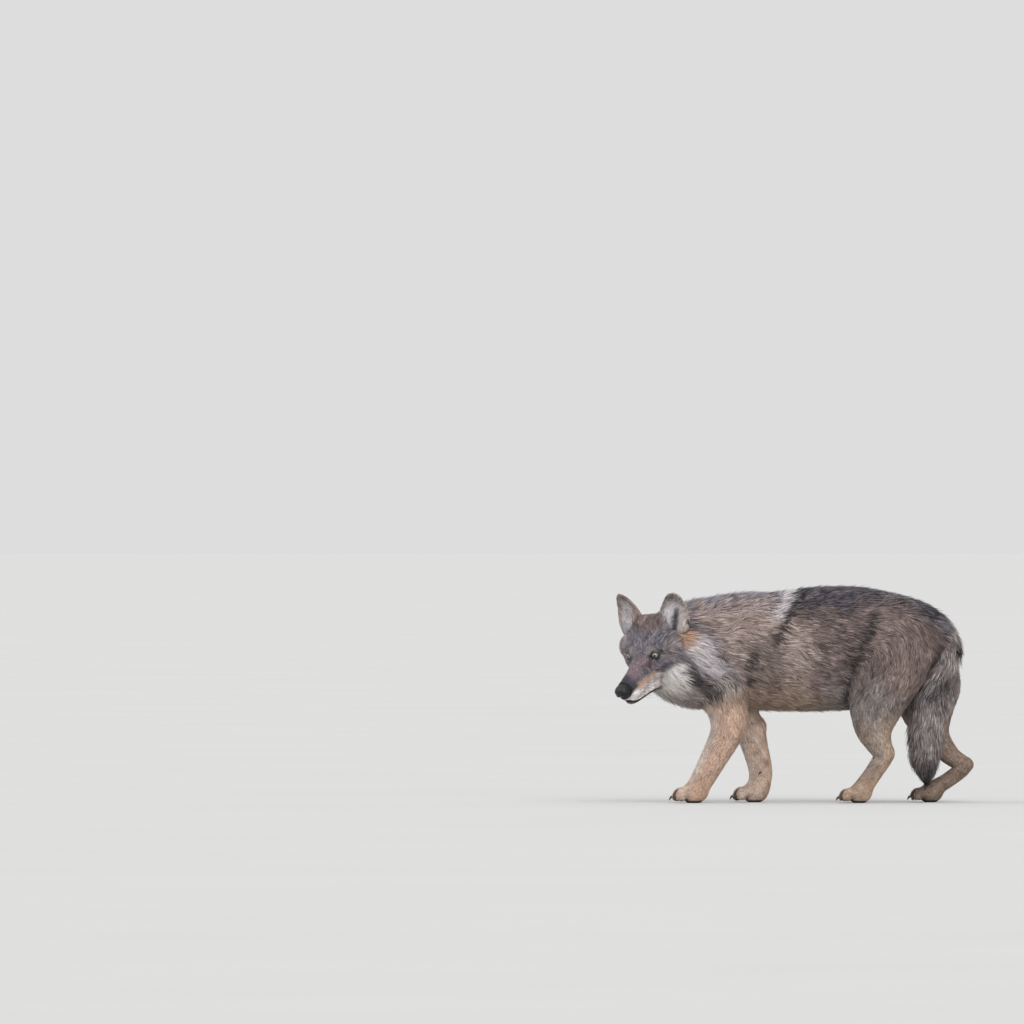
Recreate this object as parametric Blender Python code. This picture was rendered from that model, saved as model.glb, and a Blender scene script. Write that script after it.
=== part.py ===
"""A life-size still model of a grey wolf, prowling with its head low and turned to its left.

The wolf faces -X, its left side is -Y, and its feet stand on the plane z = 0. All sizes are in metres
and include the winter coat. The body is a set of named masses: tubes with oval sections, one for the
trunk, the neck, the tail, each leg and each toe, and balls for muscles and cheeks. Blender's voxel
Remesh gives their union one skin, which is then drawn on to the smooth blend of the masses, thinned
by Decimate, and parted by thin Boolean seams into the pieces that a person would name.
"""

import math

import bmesh
import bpy
import numpy as np
from mathutils import Matrix, Vector

# ---------------------------------------------------------------- driving sizes

SEAM = 0.0004  # width of the cut between two pieces
VOXELS = (0.008, 0.0056)  # grains of the two rounds of the body's union
CUTTING_TRIANGLES = 14000  # of the body while it is parted
KEPT_SHARES = (0.38, 0.19)  # of the triangles of the head's and the other pieces, once parted
MIDDLE = (0.0153, -0.0690)  # of the finished model, which is moved to the origin
SHARP = math.radians(50)
REACH = 0.07  # how far beyond its surface a mass still blends

LEG_OUT = ((0.05, 0.34, 0.56), (0.066, 0.092, 0.052))  # heights, and the legs' distance from the middle
EYE_RADIUS = 0.0145
EYE = (-0.006, 0.046, 0.005)  # forward, out and up, in the head's frame
GAZE_OUT = math.radians(22)  # each eye looks this far outwards
ORBIT = (0.0145, 0.0155, 0.0105)  # half sizes of the opening between the lids: deep, wide, high

HEAD_AT = (-0.4565, -0.167, 0.455)  # the point between the eyes
HEAD_TURN = math.radians(54)  # towards the wolf's left
HEAD_NOD = math.radians(32)  # nose down
HEAD_ROLL = math.radians(1.5)  # right ear lower

SIDEWAYS = (0.0, 1.0, 0.0)

# ---------------------------------------------------------------- stations

# x, top, bottom, half width
TRUNK = (
    (-0.255, 0.570, 0.318, 0.092),  # breast
    (-0.175, 0.630, 0.292, 0.120),  # shoulders
    (-0.050, 0.650, 0.284, 0.131),  # withers
    (0.070, 0.669, 0.283, 0.135),  # last ribs
    (0.170, 0.673, 0.287, 0.132),  # loin
    (0.250, 0.669, 0.315, 0.124),
    (0.330, 0.649, 0.370, 0.114),  # hips
    (0.400, 0.616, 0.405, 0.096),
    (0.442, 0.580, 0.452, 0.056),  # rump
)
# x, y, z, half width, half height
NECK = (
    (-0.110, 0.000, 0.490, 0.115, 0.148),
    (-0.200, -0.012, 0.474, 0.122, 0.164),
    (-0.275, -0.045, 0.461, 0.128, 0.171),  # ruff
    (-0.335, -0.082, 0.460, 0.122, 0.156),
    (-0.372, -0.088, 0.468, 0.096, 0.120),  # behind the ears
)
TAIL_ROOT = (
    (0.400, 0.000, 0.578, 0.038, 0.032),
    (0.460, 0.000, 0.546, 0.040, 0.038),
    (0.492, -0.004, 0.500, 0.041, 0.042),
    (0.497, -0.012, 0.456, 0.040, 0.042),
)
TAIL = (
    (0.494, -0.007, 0.485, 0.041, 0.043),
    (0.492, -0.015, 0.440, 0.040, 0.042),
    (0.476, -0.022, 0.404, 0.040, 0.043),
    (0.446, -0.030, 0.354, 0.045, 0.052),
    (0.430, -0.033, 0.298, 0.048, 0.059),
    (0.422, -0.034, 0.226, 0.047, 0.060),
    (0.419, -0.034, 0.164, 0.043, 0.056),
    (0.420, -0.034, 0.124, 0.036, 0.046),
    (0.423, -0.034, 0.088, 0.022, 0.028),
    (0.425, -0.034, 0.066, 0.009, 0.011),
)
# x, z, half width across, half width fore and aft; the foot is at the last point
LEFT_FORELEG = (
    (-0.190, 0.460, 0.042, 0.075),
    (-0.215, 0.380, 0.048, 0.078),
    (-0.200, 0.315, 0.047, 0.068),
    (-0.190, 0.255, 0.044, 0.058),
    (-0.200, 0.208, 0.040, 0.050),
    (-0.230, 0.149, 0.035, 0.043),
    (-0.262, 0.090, 0.033, 0.038),
    (-0.282, 0.054, 0.034, 0.035),
)
RIGHT_FORELEG = (
    (-0.165, 0.460, 0.042, 0.075),
    (-0.185, 0.380, 0.048, 0.076),
    (-0.160, 0.315, 0.047, 0.064),
    (-0.140, 0.262, 0.043, 0.050),
    (-0.120, 0.215, 0.039, 0.046),
    (-0.102, 0.155, 0.034, 0.040),
    (-0.089, 0.098, 0.032, 0.037),
    (-0.092, 0.056, 0.033, 0.035),
)
LEFT_HINDLEG = (
    (0.345, 0.545, 0.048, 0.100),
    (0.325, 0.450, 0.058, 0.112),
    (0.285, 0.365, 0.055, 0.104),
    (0.264, 0.290, 0.046, 0.082),
    (0.259, 0.232, 0.039, 0.060),
    (0.275, 0.184, 0.032, 0.041),
    (0.290, 0.148, 0.028, 0.032),
    (0.262, 0.098, 0.027, 0.028),
    (0.230, 0.052, 0.030, 0.029),
)
RIGHT_HINDLEG = (
    (0.365, 0.545, 0.048, 0.100),
    (0.400, 0.450, 0.058, 0.112),
    (0.424, 0.365, 0.053, 0.112),
    (0.429, 0.286, 0.045, 0.085),
    (0.450, 0.208, 0.036, 0.050),
    (0.500, 0.146, 0.029, 0.031),
    (0.541, 0.112, 0.026, 0.026),
    (0.498, 0.072, 0.026, 0.024),
    (0.454, 0.046, 0.029, 0.025),
)
ELBOW_BEHIND = {-1: 0.040, 1: 0.028}  # how far each elbow lies behind the middle of its leg
TOES = ((-0.031, 0.050), (-0.0112, 0.065), (0.0112, 0.065), (0.031, 0.050))  # out, reach ahead
FOOT_AHEAD = 0.020  # a foot's middle lies this far ahead of its leg's last point
HIND_FOOT = 0.92  # a hind foot's size against a forefoot's

# Head, in its own frame: forward, left, up from the point between the eyes.
# forward, up, half width, half height
MUZZLE = (
    (-0.020, -0.046, 0.052, 0.050),
    (0.030, -0.040, 0.042, 0.047),
    (0.070, -0.042, 0.033, 0.042),
    (0.108, -0.043, 0.029, 0.038),
    (0.131, -0.0445, 0.025, 0.031),
    (0.142, -0.047, 0.019, 0.022),
)
JAW = (
    (-0.070, -0.082, 0.046, 0.036),
    (0.000, -0.092, 0.034, 0.024),
    (0.060, -0.090, 0.024, 0.016),
    (0.110, -0.084, 0.019, 0.013),
    (0.130, -0.078, 0.015, 0.010),
)
SKULL = ((-0.066, 0.000, 0.006), (0.080, 0.070, 0.055))
BROW = ((-0.020, 0.036, 0.016), (0.032, 0.024, 0.015))
CHEEKBONE = ((-0.044, 0.056, -0.026), (0.050, 0.036, 0.038))
CHEEK_RUFF = ((-0.092, 0.068, -0.046), (0.060, 0.052, 0.068))
NAPE = ((-0.112, 0.032, 0.000), (0.060, 0.052, 0.056))
SIDE_RUFF = ((-0.112, 0.084, -0.026), (0.042, 0.055, 0.062))
CHEEK_TUFT = ((-0.050, 0.086, 0.012), (0.032, 0.022, 0.028))
THROAT = ((-0.085, 0.000, -0.095), (0.078, 0.058, 0.046))
EAR_ROOT = ((-0.095, 0.032, 0.046), (0.034, 0.036, 0.040))
EAR = (
    (-0.090, 0.069, 0.010, 0.040, 0.028),
    (-0.104, 0.081, 0.053, 0.049, 0.028),
    (-0.111, 0.087, 0.100, 0.043, 0.022),
    (-0.115, 0.094, 0.136, 0.025, 0.012),
    (-0.113, 0.096, 0.152, 0.009, 0.004),
)
EAR_TURN = math.radians(14)  # its opening looks this far outwards
EAR_WALL = 0.007
EAR_HOLLOW = (0.16, 0.42)  # shares of the ear's length between which its hollow opens
EAR_CORNERS = 7  # along its back, and again along its front

NOSE = ((0.149, 0.0, -0.032), (0.0215, 0.0245, 0.0205))
NOSTRIL = ((0.165, 0.0125, -0.034), (0.011, 0.0050, 0.0058))
MOUTH = ((0.200, -0.048), (0.150, -0.066), (0.128, -0.076), (0.085, -0.083), (0.016, -0.092))
MUZZLE_FROM = 0.020  # where the muzzle and the jaw begin, forward of the eyes


# ---------------------------------------------------------------- masses

def unit(v):
    return np.asarray(v, float) / np.linalg.norm(v)


def head_frame():
    """The head's axes, forward, left and up, as the columns of a matrix."""
    level = np.array((-math.cos(HEAD_TURN), -math.sin(HEAD_TURN), 0.0))
    up = np.array((0.0, 0.0, 1.0))
    forward = math.cos(HEAD_NOD) * level - math.sin(HEAD_NOD) * up
    left = np.cross(up, level)
    crown = np.cross(forward, left)
    roll = math.cos(HEAD_ROLL), math.sin(HEAD_ROLL)
    return np.stack((forward, roll[0] * left + roll[1] * crown, roll[0] * crown - roll[1] * left), 1)


HEAD_AXES = head_frame()


def in_head(point):
    return np.asarray(HEAD_AT) + HEAD_AXES @ np.asarray(point, float)


def smooth_through(rows, steps=4):
    """A Catmull-Rom curve through the rows, each an array of place and sizes."""
    rows = np.asarray(rows, float)
    padded = np.vstack((2 * rows[0] - rows[1], rows, 2 * rows[-1] - rows[-2]))
    found = []
    for a, b, c, d in zip(padded, padded[1:], padded[2:], padded[3:]):
        for t in np.arange(steps) / steps:
            found.append(0.5 * (2 * b + (c - a) * t + (2 * a - 5 * b + 4 * c - d) * t**2
                                + (3 * b - a - 3 * c + d) * t**3))
    return np.vstack((*found, rows[-1]))


def oval_distance(ratios, radii):
    """Near-true distance to an oval, from offsets and radii along its axes."""
    k0 = np.sqrt(sum((r / s) ** 2 for r, s in zip(ratios, radii)))
    k1 = np.sqrt(sum((r / s**2) ** 2 for r, s in zip(ratios, radii)))
    return k0 * (k0 - 1) / np.maximum(k1, 1e-6)


class Tube:
    """A bent tube: rows of x, y, z, half width along side, half width across side."""

    def __init__(self, rows, side=SIDEWAYS, steps=4):
        self.rows = smooth_through(rows, steps)
        self.side = unit(side)
        reach = self.rows[:, 3:].max() + REACH
        self.low = self.rows[:, :3].min(0) - reach
        self.high = self.rows[:, :3].max(0) + reach

    def axes(self, along):
        normal = unit(np.cross(along, self.side))
        return np.cross(normal, along), normal

    def distance(self, points):
        best = np.full(len(points), 1.0)
        for start, end in zip(self.rows, self.rows[1:]):
            run = end[:3] - start[:3]
            along = unit(run)
            side, normal = self.axes(along)
            t = np.clip((points - start[:3]) @ run / (run @ run), 0, 1)
            off = points - start[:3] - t[:, None] * run
            wide, deep = (start[k] + (end[k] - start[k]) * t for k in (3, 4))
            offsets = off @ side, off @ normal, off @ along
            best = np.minimum(best, oval_distance(offsets, (wide, deep, np.minimum(wide, deep))))
        return best

    def add_shell(self, mesh, corners=14):
        rings = []
        for i, row in enumerate(self.rows):
            ahead = self.rows[min(i + 1, len(self.rows) - 1), :3] - self.rows[max(i - 1, 0), :3]
            side, normal = self.axes(unit(ahead))
            turn = (2 * math.pi * k / corners for k in range(corners))
            rings.append([mesh.verts.new(row[:3] + row[3] * math.cos(a) * side
                                         + row[4] * math.sin(a) * normal) for a in turn])
        for one, two in zip(rings, rings[1:]):
            for k in range(corners):
                n = (k + 1) % corners
                mesh.faces.new((one[k], one[n], two[n], two[k]))
        mesh.faces.new(rings[0][::-1])
        mesh.faces.new(rings[-1])


class Ball:
    """An oval ball with its own axes."""

    def __init__(self, centre, radii, axes=None):
        self.centre = np.asarray(centre, float)
        self.radii = np.asarray(radii, float)
        self.axes = np.eye(3) if axes is None else np.asarray(axes)
        reach = self.radii.max() + REACH
        self.low, self.high = self.centre - reach, self.centre + reach

    def distance(self, points):
        off = (points - self.centre) @ self.axes
        return oval_distance(off.T, self.radii)

    def add_shell(self, mesh, finer=2, grow=0.0):
        turn = Matrix(self.axes.tolist()).to_4x4()
        size = Matrix.Diagonal((*(self.radii + grow).tolist(), 1.0))
        place = Matrix.Translation(self.centre.tolist()) @ turn @ size
        bmesh.ops.create_icosphere(mesh, subdivisions=finer, radius=1.0, matrix=place)


def near(mass, points, value=1.0):
    """The mass's distance, worked out only for the points that it can reach."""
    found = np.full(len(points), value)
    inside = ((points > mass.low) & (points < mass.high)).all(1)
    if inside.any():
        found[inside] = mass.distance(points[inside])
    return found


def smooth_min(a, b, width):
    h = np.maximum(width - np.abs(a - b), 0) / width
    return np.minimum(a, b) - h * h * width / 4


def trunk_rows():
    return [(x, 0.0, (top + low) / 2, wide, (top - low) / 2) for x, top, low, wide in TRUNK]


def leg_rows(stations, side):
    return [(x, side * np.interp(z, *LEG_OUT), z, wide, deep) for x, z, wide, deep in stations]


def foot_masses(x, side, size):
    """A foot: its pad, and four toes, the middle two longer."""
    y = side * LEG_OUT[1][0]
    masses = [(Ball((x + 0.004, y, 0.030 * size), (0.042 * size, 0.037 * size, 0.033 * size)), 0.016)]
    for out, reach in TOES:
        root, knuckle, tip = (np.array((x - ahead * size, y + out * share * size, z * size))
                              for ahead, share, z in ((0.012, 0.8, 0.032), (reach * 0.62, 0.97, 0.031),
                                                      (reach - 0.013, 1.0, 0.0155)))
        radii = np.array((0.0165, 0.0172, 0.0145)) * size
        rows = [(*place, r, r) for place, r in zip((root, knuckle, tip), radii)]
        masses.append((Tube(rows, steps=3), 0.006))
    return masses


LEGS = {
    "fore_left": (LEFT_FORELEG, -1, 1.0),
    "fore_right": (RIGHT_FORELEG, 1, 1.0),
    "hind_left": (LEFT_HINDLEG, -1, HIND_FOOT),
    "hind_right": (RIGHT_HINDLEG, 1, HIND_FOOT),
}


def foot_x(stations):
    return stations[-1][0] - FOOT_AHEAD


def leg_masses(stations, side, size):
    fore = size == 1.0
    masses = [(Tube(leg_rows(stations, side)), 0.035)]
    if fore:  # the elbow's point
        x, z = stations[4][0] + ELBOW_BEHIND[side], stations[4][1] + 0.022
        masses.append((Ball((x, side * np.interp(z, *LEG_OUT), z), (0.021, 0.022, 0.026)), 0.02))
    else:  # the heel
        x, z = stations[6][0] + 0.016, stations[6][1] + 0.006
        masses.append((Ball((x, side * np.interp(z, *LEG_OUT), z), (0.017, 0.016, 0.019)), 0.012))
    return masses + foot_masses(foot_x(stations), side, size)


def head_tube(rows, side=(0, 1, 0), steps=4):
    placed = [(*in_head(row[:3]), *row[3:]) for row in rows]
    return Tube(placed, HEAD_AXES @ np.asarray(side, float), steps)


def head_ball(sizes, side=1, lean=0.0):
    (f, out, up), radii = sizes
    c, s = math.cos(lean), math.sin(lean)
    tilt = np.array(((c, 0, s), (0, 1, 0), (-s, 0, c)))
    return Ball(in_head((f, side * out, up)), radii, HEAD_AXES @ tilt)


def middle_rows(rows):
    return [(f, 0.0, up, wide, tall) for f, up, wide, tall in rows]


def ear_rows(side):
    return [(f, side * out, up, wide, deep) for f, out, up, wide, deep in EAR]


def ear_shell(side, mesh):
    """A cupped ear: a tapering crescent swept up from a solid root."""
    across = HEAD_AXES @ np.array((-math.sin(EAR_TURN), side * math.cos(EAR_TURN), 0.0))
    ahead = HEAD_AXES @ np.array((math.cos(EAR_TURN), side * math.sin(EAR_TURN), 0.0))
    rows = smooth_through(ear_rows(side), 2)
    turns = (np.arange(EAR_CORNERS) + 0.5) * math.pi / EAR_CORNERS
    rings = []
    for i, (f, out, up, wide, deep) in enumerate(rows):
        opened = np.clip((i / (len(rows) - 1) - EAR_HOLLOW[0]) / (EAR_HOLLOW[1] - EAR_HOLLOW[0]), 0, 1)
        middle = in_head((f, out, up))
        bow = np.sin(turns) * deep
        front = (1 - opened) * bow * 0.7 - opened * bow * 0.9 + EAR_WALL / 2
        back = -bow - EAR_WALL / 2
        ring = [middle + math.cos(t) * wide * across + d * ahead for t, d in zip(turns, front)]
        ring += [middle + math.cos(t) * wide * across + d * ahead for t, d in zip(turns[::-1], back[::-1])]
        rings.append([mesh.verts.new(place) for place in ring])
    for one, two in zip(rings, rings[1:]):
        for k in range(len(one)):
            n = (k + 1) % len(one)
            mesh.faces.new((one[k], one[n], two[n], two[k]))
    mesh.faces.new(rings[0][::-1])
    mesh.faces.new(rings[-1])


def body_masses():
    """Every mass with the width over which it blends into those before it."""
    masses = [(Tube(trunk_rows()), 0.02), (Tube(NECK), 0.06), (Tube(TAIL_ROOT), 0.03)]
    for stations, side, size in LEGS.values():
        masses += leg_masses(stations, side, size)
    masses += [
        (head_ball(SKULL, lean=math.radians(22)), 0.04),
        (head_tube(middle_rows(MUZZLE)), 0.03),
        (head_ball(THROAT), 0.04),
        (head_tube(middle_rows(JAW)), 0.008),
    ]
    for side in (-1, 1):
        masses += [
            (head_ball(NAPE, side), 0.05),
            (head_ball(BROW, side, math.radians(20)), 0.02),
            (head_ball(CHEEKBONE, side), 0.025),
            (head_ball(CHEEK_RUFF, side), 0.04),
            (head_ball(SIDE_RUFF, side), 0.05),
            (head_ball(EAR_ROOT, side), 0.03),
            (head_ball(CHEEK_TUFT, side), 0.03),
        ]
    return masses


def body_distance(points, masses):
    total = np.full(len(points), 1.0)
    for mass, width in masses:
        total = smooth_min(total, near(mass, points), width)
    return np.maximum(total, -points[:, 2])  # flat soles


# ---------------------------------------------------------------- skin

def new_object(name, mesh_data):
    made = bpy.data.objects.new(name, mesh_data)
    bpy.context.scene.collection.objects.link(made)
    return made


def from_bmesh(name, mesh):
    bmesh.ops.triangulate(mesh, faces=mesh.faces)
    data = bpy.data.meshes.new(name)
    mesh.to_mesh(data)
    mesh.free()
    return new_object(name, data)


def baked(obj):
    """Replaces the object's mesh by what its modifiers make of it."""
    bpy.context.view_layer.update()
    graph = bpy.context.evaluated_depsgraph_get()
    data = bpy.data.meshes.new_from_object(obj.evaluated_get(graph), depsgraph=graph)
    obj.modifiers.clear()
    obj.data = data
    return obj


def read_points(data):
    points = np.empty(len(data.vertices) * 3, np.float32)
    data.vertices.foreach_get("co", points)
    return points.reshape(-1, 3).astype(float)


def write_points(data, points):
    data.vertices.foreach_set("co", points.astype(np.float32).ravel())
    data.update()


def draw_on(points, masses, rounds=3):
    """Moves the points on to the surface of the blended masses."""
    step = 0.0005
    for _ in range(rounds):
        here = body_distance(points, masses)
        slope = np.stack([body_distance(points + step * axis, masses) - here for axis in np.eye(3)], 1) / step
        size = np.maximum((slope**2).sum(1, keepdims=True), 0.2)
        move = -here[:, None] * slope / size
        far = np.linalg.norm(move, axis=1, keepdims=True)
        points = points + move * np.minimum(1.0, 0.012 / np.maximum(far, 1e-9))
    return points


def relaxed(points, ends, share=0.5):
    """Moves each point towards the mean of its neighbours."""
    total, count = np.zeros_like(points), np.zeros(len(points))
    for a, b in (ends.T, ends.T[::-1]):
        np.add.at(total, a, points[b])
        np.add.at(count, a, 1)
    return points + share * (total / count[:, None] - points)


def flatten_soles(data):
    points = read_points(data)
    points[:, 2] = np.where(points[:, 2] < 0.0018, 0.0, points[:, 2])
    write_points(data, points)


def whole_body():
    masses = body_masses()
    shells = bmesh.new()
    for mass, _ in masses:
        mass.add_shell(shells)
    bmesh.ops.recalc_face_normals(shells, faces=shells.faces)
    body = from_bmesh("body", shells)
    for voxel in VOXELS:  # the second round starts from the blend drawn by the first
        remesh = body.modifiers.new("union", "REMESH")
        remesh.mode = "VOXEL"
        remesh.voxel_size = voxel
        baked(body)
        ends = np.array([edge.vertices[:] for edge in body.data.edges])
        points = read_points(body.data)
        for _ in range(2):
            points = draw_on(relaxed(points, ends), masses, rounds=2)
        write_points(body.data, points)
    thin = body.modifiers.new("thin", "DECIMATE")
    thin.ratio = CUTTING_TRIANGLES / (2 * len(body.data.polygons))
    baked(body)
    flatten_soles(body.data)
    return body


# ---------------------------------------------------------------- parting

def combine(obj, tool, operation):
    """The object's mesh after a Boolean with the tool, which stays as it is."""
    step = obj.modifiers.new("cut", "BOOLEAN")
    step.operation = operation
    step.solver = "EXACT"
    step.object = tool
    return baked(obj)


def drop(*objects):
    for obj in objects:
        bpy.data.objects.remove(obj)


def copy_of(obj, name):
    made = obj.copy()
    made.data = obj.data.copy()
    made.name = name
    bpy.context.scene.collection.objects.link(made)
    return made


def cell(planes, grow):
    """A convex block within planes, each a point and its outward direction."""
    mesh = bmesh.new()
    bmesh.ops.create_cube(mesh, size=4.0)
    for point, outward in planes:
        outward = unit(outward)
        everything = mesh.verts[:] + mesh.edges[:] + mesh.faces[:]
        bmesh.ops.bisect_plane(mesh, geom=everything, plane_co=np.asarray(point) + outward * grow,
                               plane_no=outward, clear_outer=True)
        bmesh.ops.holes_fill(mesh, edges=[e for e in mesh.edges if e.is_boundary])
    bmesh.ops.recalc_face_normals(mesh, faces=mesh.faces)
    return from_bmesh("cell", mesh)


def take(name, source, planes):
    """Parts from the source what lies within the planes, and names it."""
    inner, outer = cell(planes, 0.0), cell(planes, SEAM)
    piece = combine(copy_of(source, name), inner, "INTERSECT")
    combine(source, outer, "DIFFERENCE")
    drop(inner, outer)
    return piece


def across_x(x, z0, x_low, z_low, outward):
    """A plane through two points of the side view, with its outward direction."""
    run = np.array((x_low - x, 0.0, z_low - z0))
    normal = np.cross(run, (0.0, 1.0, 0.0))
    return (x, 0.0, z0), normal * math.copysign(1.0, normal[0] * outward)


def inner_plane(side, y_low, z_low, y_high, z_high):
    """The sloping plane between a leg and the trunk, outward towards the trunk."""
    return (0.0, side * y_low, z_low), (0.0, side * (z_low - z_high), y_high - y_low)


def flipped(plane):
    point, outward = plane
    return point, tuple(-np.asarray(outward))


def head_plane(f, up, outward):
    """A plane across the head's middle plane: forward, up, and outward direction there."""
    return in_head((f, 0.0, up)), HEAD_AXES @ np.array((outward[0], 0.0, outward[1]))


HEAD_CUT = ((-0.350, -0.100, 0.470), (0.86, 0.50, 0.12))
HEAD_FLOOR = ((0.0, 0.0, 0.24), (0.0, 0.0, -1.0))  # keeps the feet out of the head's block
TAIL_ROOT_CUTS = (((0.466, 0.0, 0.546), (-0.80, 0.0, 0.60)), ((0.458, 0.0, 0.50), (-1.0, 0.0, 0.0)))
TAIL_CUTS = (((0.496, 0.0, 0.466), (0.03, 0.0, 1.0)), ((0.440, 0.0, 0.335), (0.25, 0.0, 1.0)),
             ((0.420, 0.0, 0.160), (0.0, 0.0, 1.0)))
NECK_CUT = ((-0.223, 0.0, 0.55), (0.989, 0.0, -0.146))
CHEST_CUT = ((0.055, 0.0, 0.45), (1.0, 0.0, 0.0))
ABDOMEN_CUT = ((0.262, 0.0, 0.50), (0.95, 0.0, -0.30))
LEG_CELLS = {  # planes in front of and behind the upper leg, then the slope between it and the trunk
    "fore_left": ((-0.225, 0.55, -0.262, 0.30), (-0.100, 0.55, -0.118, 0.30), (0.042, 0.27, 0.128, 0.56)),
    "fore_right": ((-0.225, 0.55, -0.262, 0.30), (-0.066, 0.55, -0.046, 0.30), (0.042, 0.27, 0.128, 0.56)),
    "hind_left": ((0.245, 0.56, 0.165, 0.33), (0.480, 0.55, 0.480, 0.30), (0.034, 0.27, 0.122, 0.60)),
    "hind_right": ((0.235, 0.56, 0.280, 0.33), (0.640, 0.55, 0.640, 0.30), (0.034, 0.27, 0.122, 0.60)),
}
LOWER_REACH = {  # how far forward and back the lower leg reaches
    "fore_left": (-0.46, -0.05),
    "fore_right": (-0.30, -0.03),
    "hind_left": (0.135, 0.46),
    "hind_right": (0.28, 0.66),
}
LEG_JOINTS = {  # name of what lies below, and the place among the leg's stations
    "fore": (("forearm", 3.2), ("paw", 6.7)),
    "hind": (("shank", 3.3), ("metatarsus", 6.0), ("paw", 7.6)),
}


def joint_plane(stations, at):
    """The plane across a leg at a place among its stations, outward up the leg."""
    places = np.array([row[:2] for row in stations])
    count = np.arange(len(places))
    (x, z), above, below = (np.array([np.interp(t, count, places[:, k]) for k in (0, 1)])
                            for t in (at, at - 0.6, at + 0.6))
    return (x, 0.0, z), (above[0] - below[0], 0.0, above[1] - below[1])


def part_leg(body, leg):
    stations, side, _ = LEGS[leg]
    ahead, behind, slope = LEG_CELLS[leg]
    front, rear = LOWER_REACH[leg]
    pair, hand = leg.split("_")
    (name, knee), *lower_joints = LEG_JOINTS[pair]
    inner = ((0.0, 0.0, 0.0), (0.0, -side, 0.0))
    reach = [((front, 0.0, 0.0), (-1.0, 0.0, 0.0)), ((rear, 0.0, 0.0), (1.0, 0.0, 0.0))]
    level = (joint_plane(stations, knee)[0], (0.0, 0.0, 1.0))
    lower = take(f"{name}_{hand}", body, [level, inner] + reach)
    planes = [across_x(*ahead, -1), across_x(*behind, 1), inner_plane(side, *slope), inner]
    upper = {"fore": "shoulder", "hind": "thigh"}[pair]
    pieces = [take(f"{upper}_{hand}", body, planes), lower]
    for name, at in lower_joints:
        full = f"{pair}paw_{hand}" if name == "paw" else f"{name}_{hand}"
        pieces.append(take(full, pieces[-1], [joint_plane(stations, at)]))
    return pieces


def claw_rows(tip, size):
    x, y, z = tip
    return [
        (x - 0.006 * size, y, z + 0.0055 * size, 0.0042, 0.0050),
        (x - 0.0175 * size, y, z + 0.0018 * size, 0.0034, 0.0041),
        (x - 0.0255 * size, y, z - 0.0085 * size, 0.0010, 0.0012),
    ]


def shell_object(name, mass, **options):
    mesh = bmesh.new()
    mass.add_shell(mesh, **options)
    bmesh.ops.recalc_face_normals(mesh, faces=mesh.faces)
    return from_bmesh(name, mesh)


def fattened(obj, amount):
    """A copy of the object, larger by the amount all round."""
    made = copy_of(obj, "tool")
    mesh = bmesh.new()
    mesh.from_mesh(made.data)
    mesh.normal_update()
    for vert in mesh.verts:
        vert.co += vert.normal * amount * 1.15
    mesh.to_mesh(made.data)
    mesh.free()
    return made


def seat(piece, hosts, room=SEAM):
    """Cuts room for the piece out of each host."""
    tool = fattened(piece, room)
    for host in hosts:
        combine(host, tool, "DIFFERENCE")
    drop(tool)


def is_closed(data):
    mesh = bmesh.new()
    mesh.from_mesh(data)
    closed = all(edge.is_manifold for edge in mesh.edges)
    mesh.free()
    return closed


def thinned(pieces, share):
    """Thins each piece to about the share, or to a little more where that would open it."""
    for piece in pieces:
        dense, trial = piece.data, share
        while True:
            piece.data = dense.copy()
            thin = piece.modifiers.new("thin", "DECIMATE")
            thin.ratio = trial
            baked(piece)
            if is_closed(piece.data) or trial >= 1.0:
                break
            trial = min(trial * 1.06, 1.0)
        flatten_soles(piece.data)


def add_claws(leg, paw, forearm):
    stations, side, size = LEGS[leg]
    x, y = foot_x(stations), side * LEG_OUT[1][0]
    made = []
    for number, (out, reach) in enumerate(TOES):
        tip = (x - (reach - 0.013) * size, y + out * size, 0.0155 * size)
        claw = shell_object(f"claw_{leg}_{number + 1}", Tube(claw_rows(tip, size), steps=1), corners=6)
        seat(claw, [paw])
        made.append(claw)
    if leg.startswith("fore"):
        x, z = stations[6][0] + 0.004, stations[6][1] - 0.004
        y = side * np.interp(z, *LEG_OUT)
        rows = [
            (x, y - side * 0.026, z, 0.0036, 0.0042),
            (x - 0.010, y - side * 0.0335, z - 0.004, 0.0030, 0.0034),
            (x - 0.016, y - side * 0.0345, z - 0.012, 0.0010, 0.0011),
        ]
        claw = shell_object(f"dewclaw_{leg}", Tube(rows, steps=1), corners=6)
        seat(claw, [paw, forearm])
        made.append(claw)
    return made


def part_head(body):
    head = take("head", body, [HEAD_CUT, HEAD_FLOOR])
    above = []
    for (f0, up0), (f1, up1) in zip(MOUTH, MOUTH[1:]):
        above.append(head_plane(f0, up0, (up0 - up1, f1 - f0)))
    rear = head_plane(MUZZLE_FROM, 0, (-1, 0))
    muzzle = take("muzzle", head, [rear] + above)
    jaw = take("lower_jaw", head, [rear])
    return [head, muzzle, jaw]


def add_nose(muzzle):
    nose = shell_object("nose", Ball(in_head(NOSE[0]), NOSE[1], HEAD_AXES), finer=3)
    seat(nose, [muzzle])
    (f, out, up), radii = NOSTRIL
    for side in (-1, 1):
        hole = shell_object("hole", Ball(in_head((f, side * out, up)), radii, HEAD_AXES))
        combine(nose, hole, "DIFFERENCE")
        drop(hole)
    return nose


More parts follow.
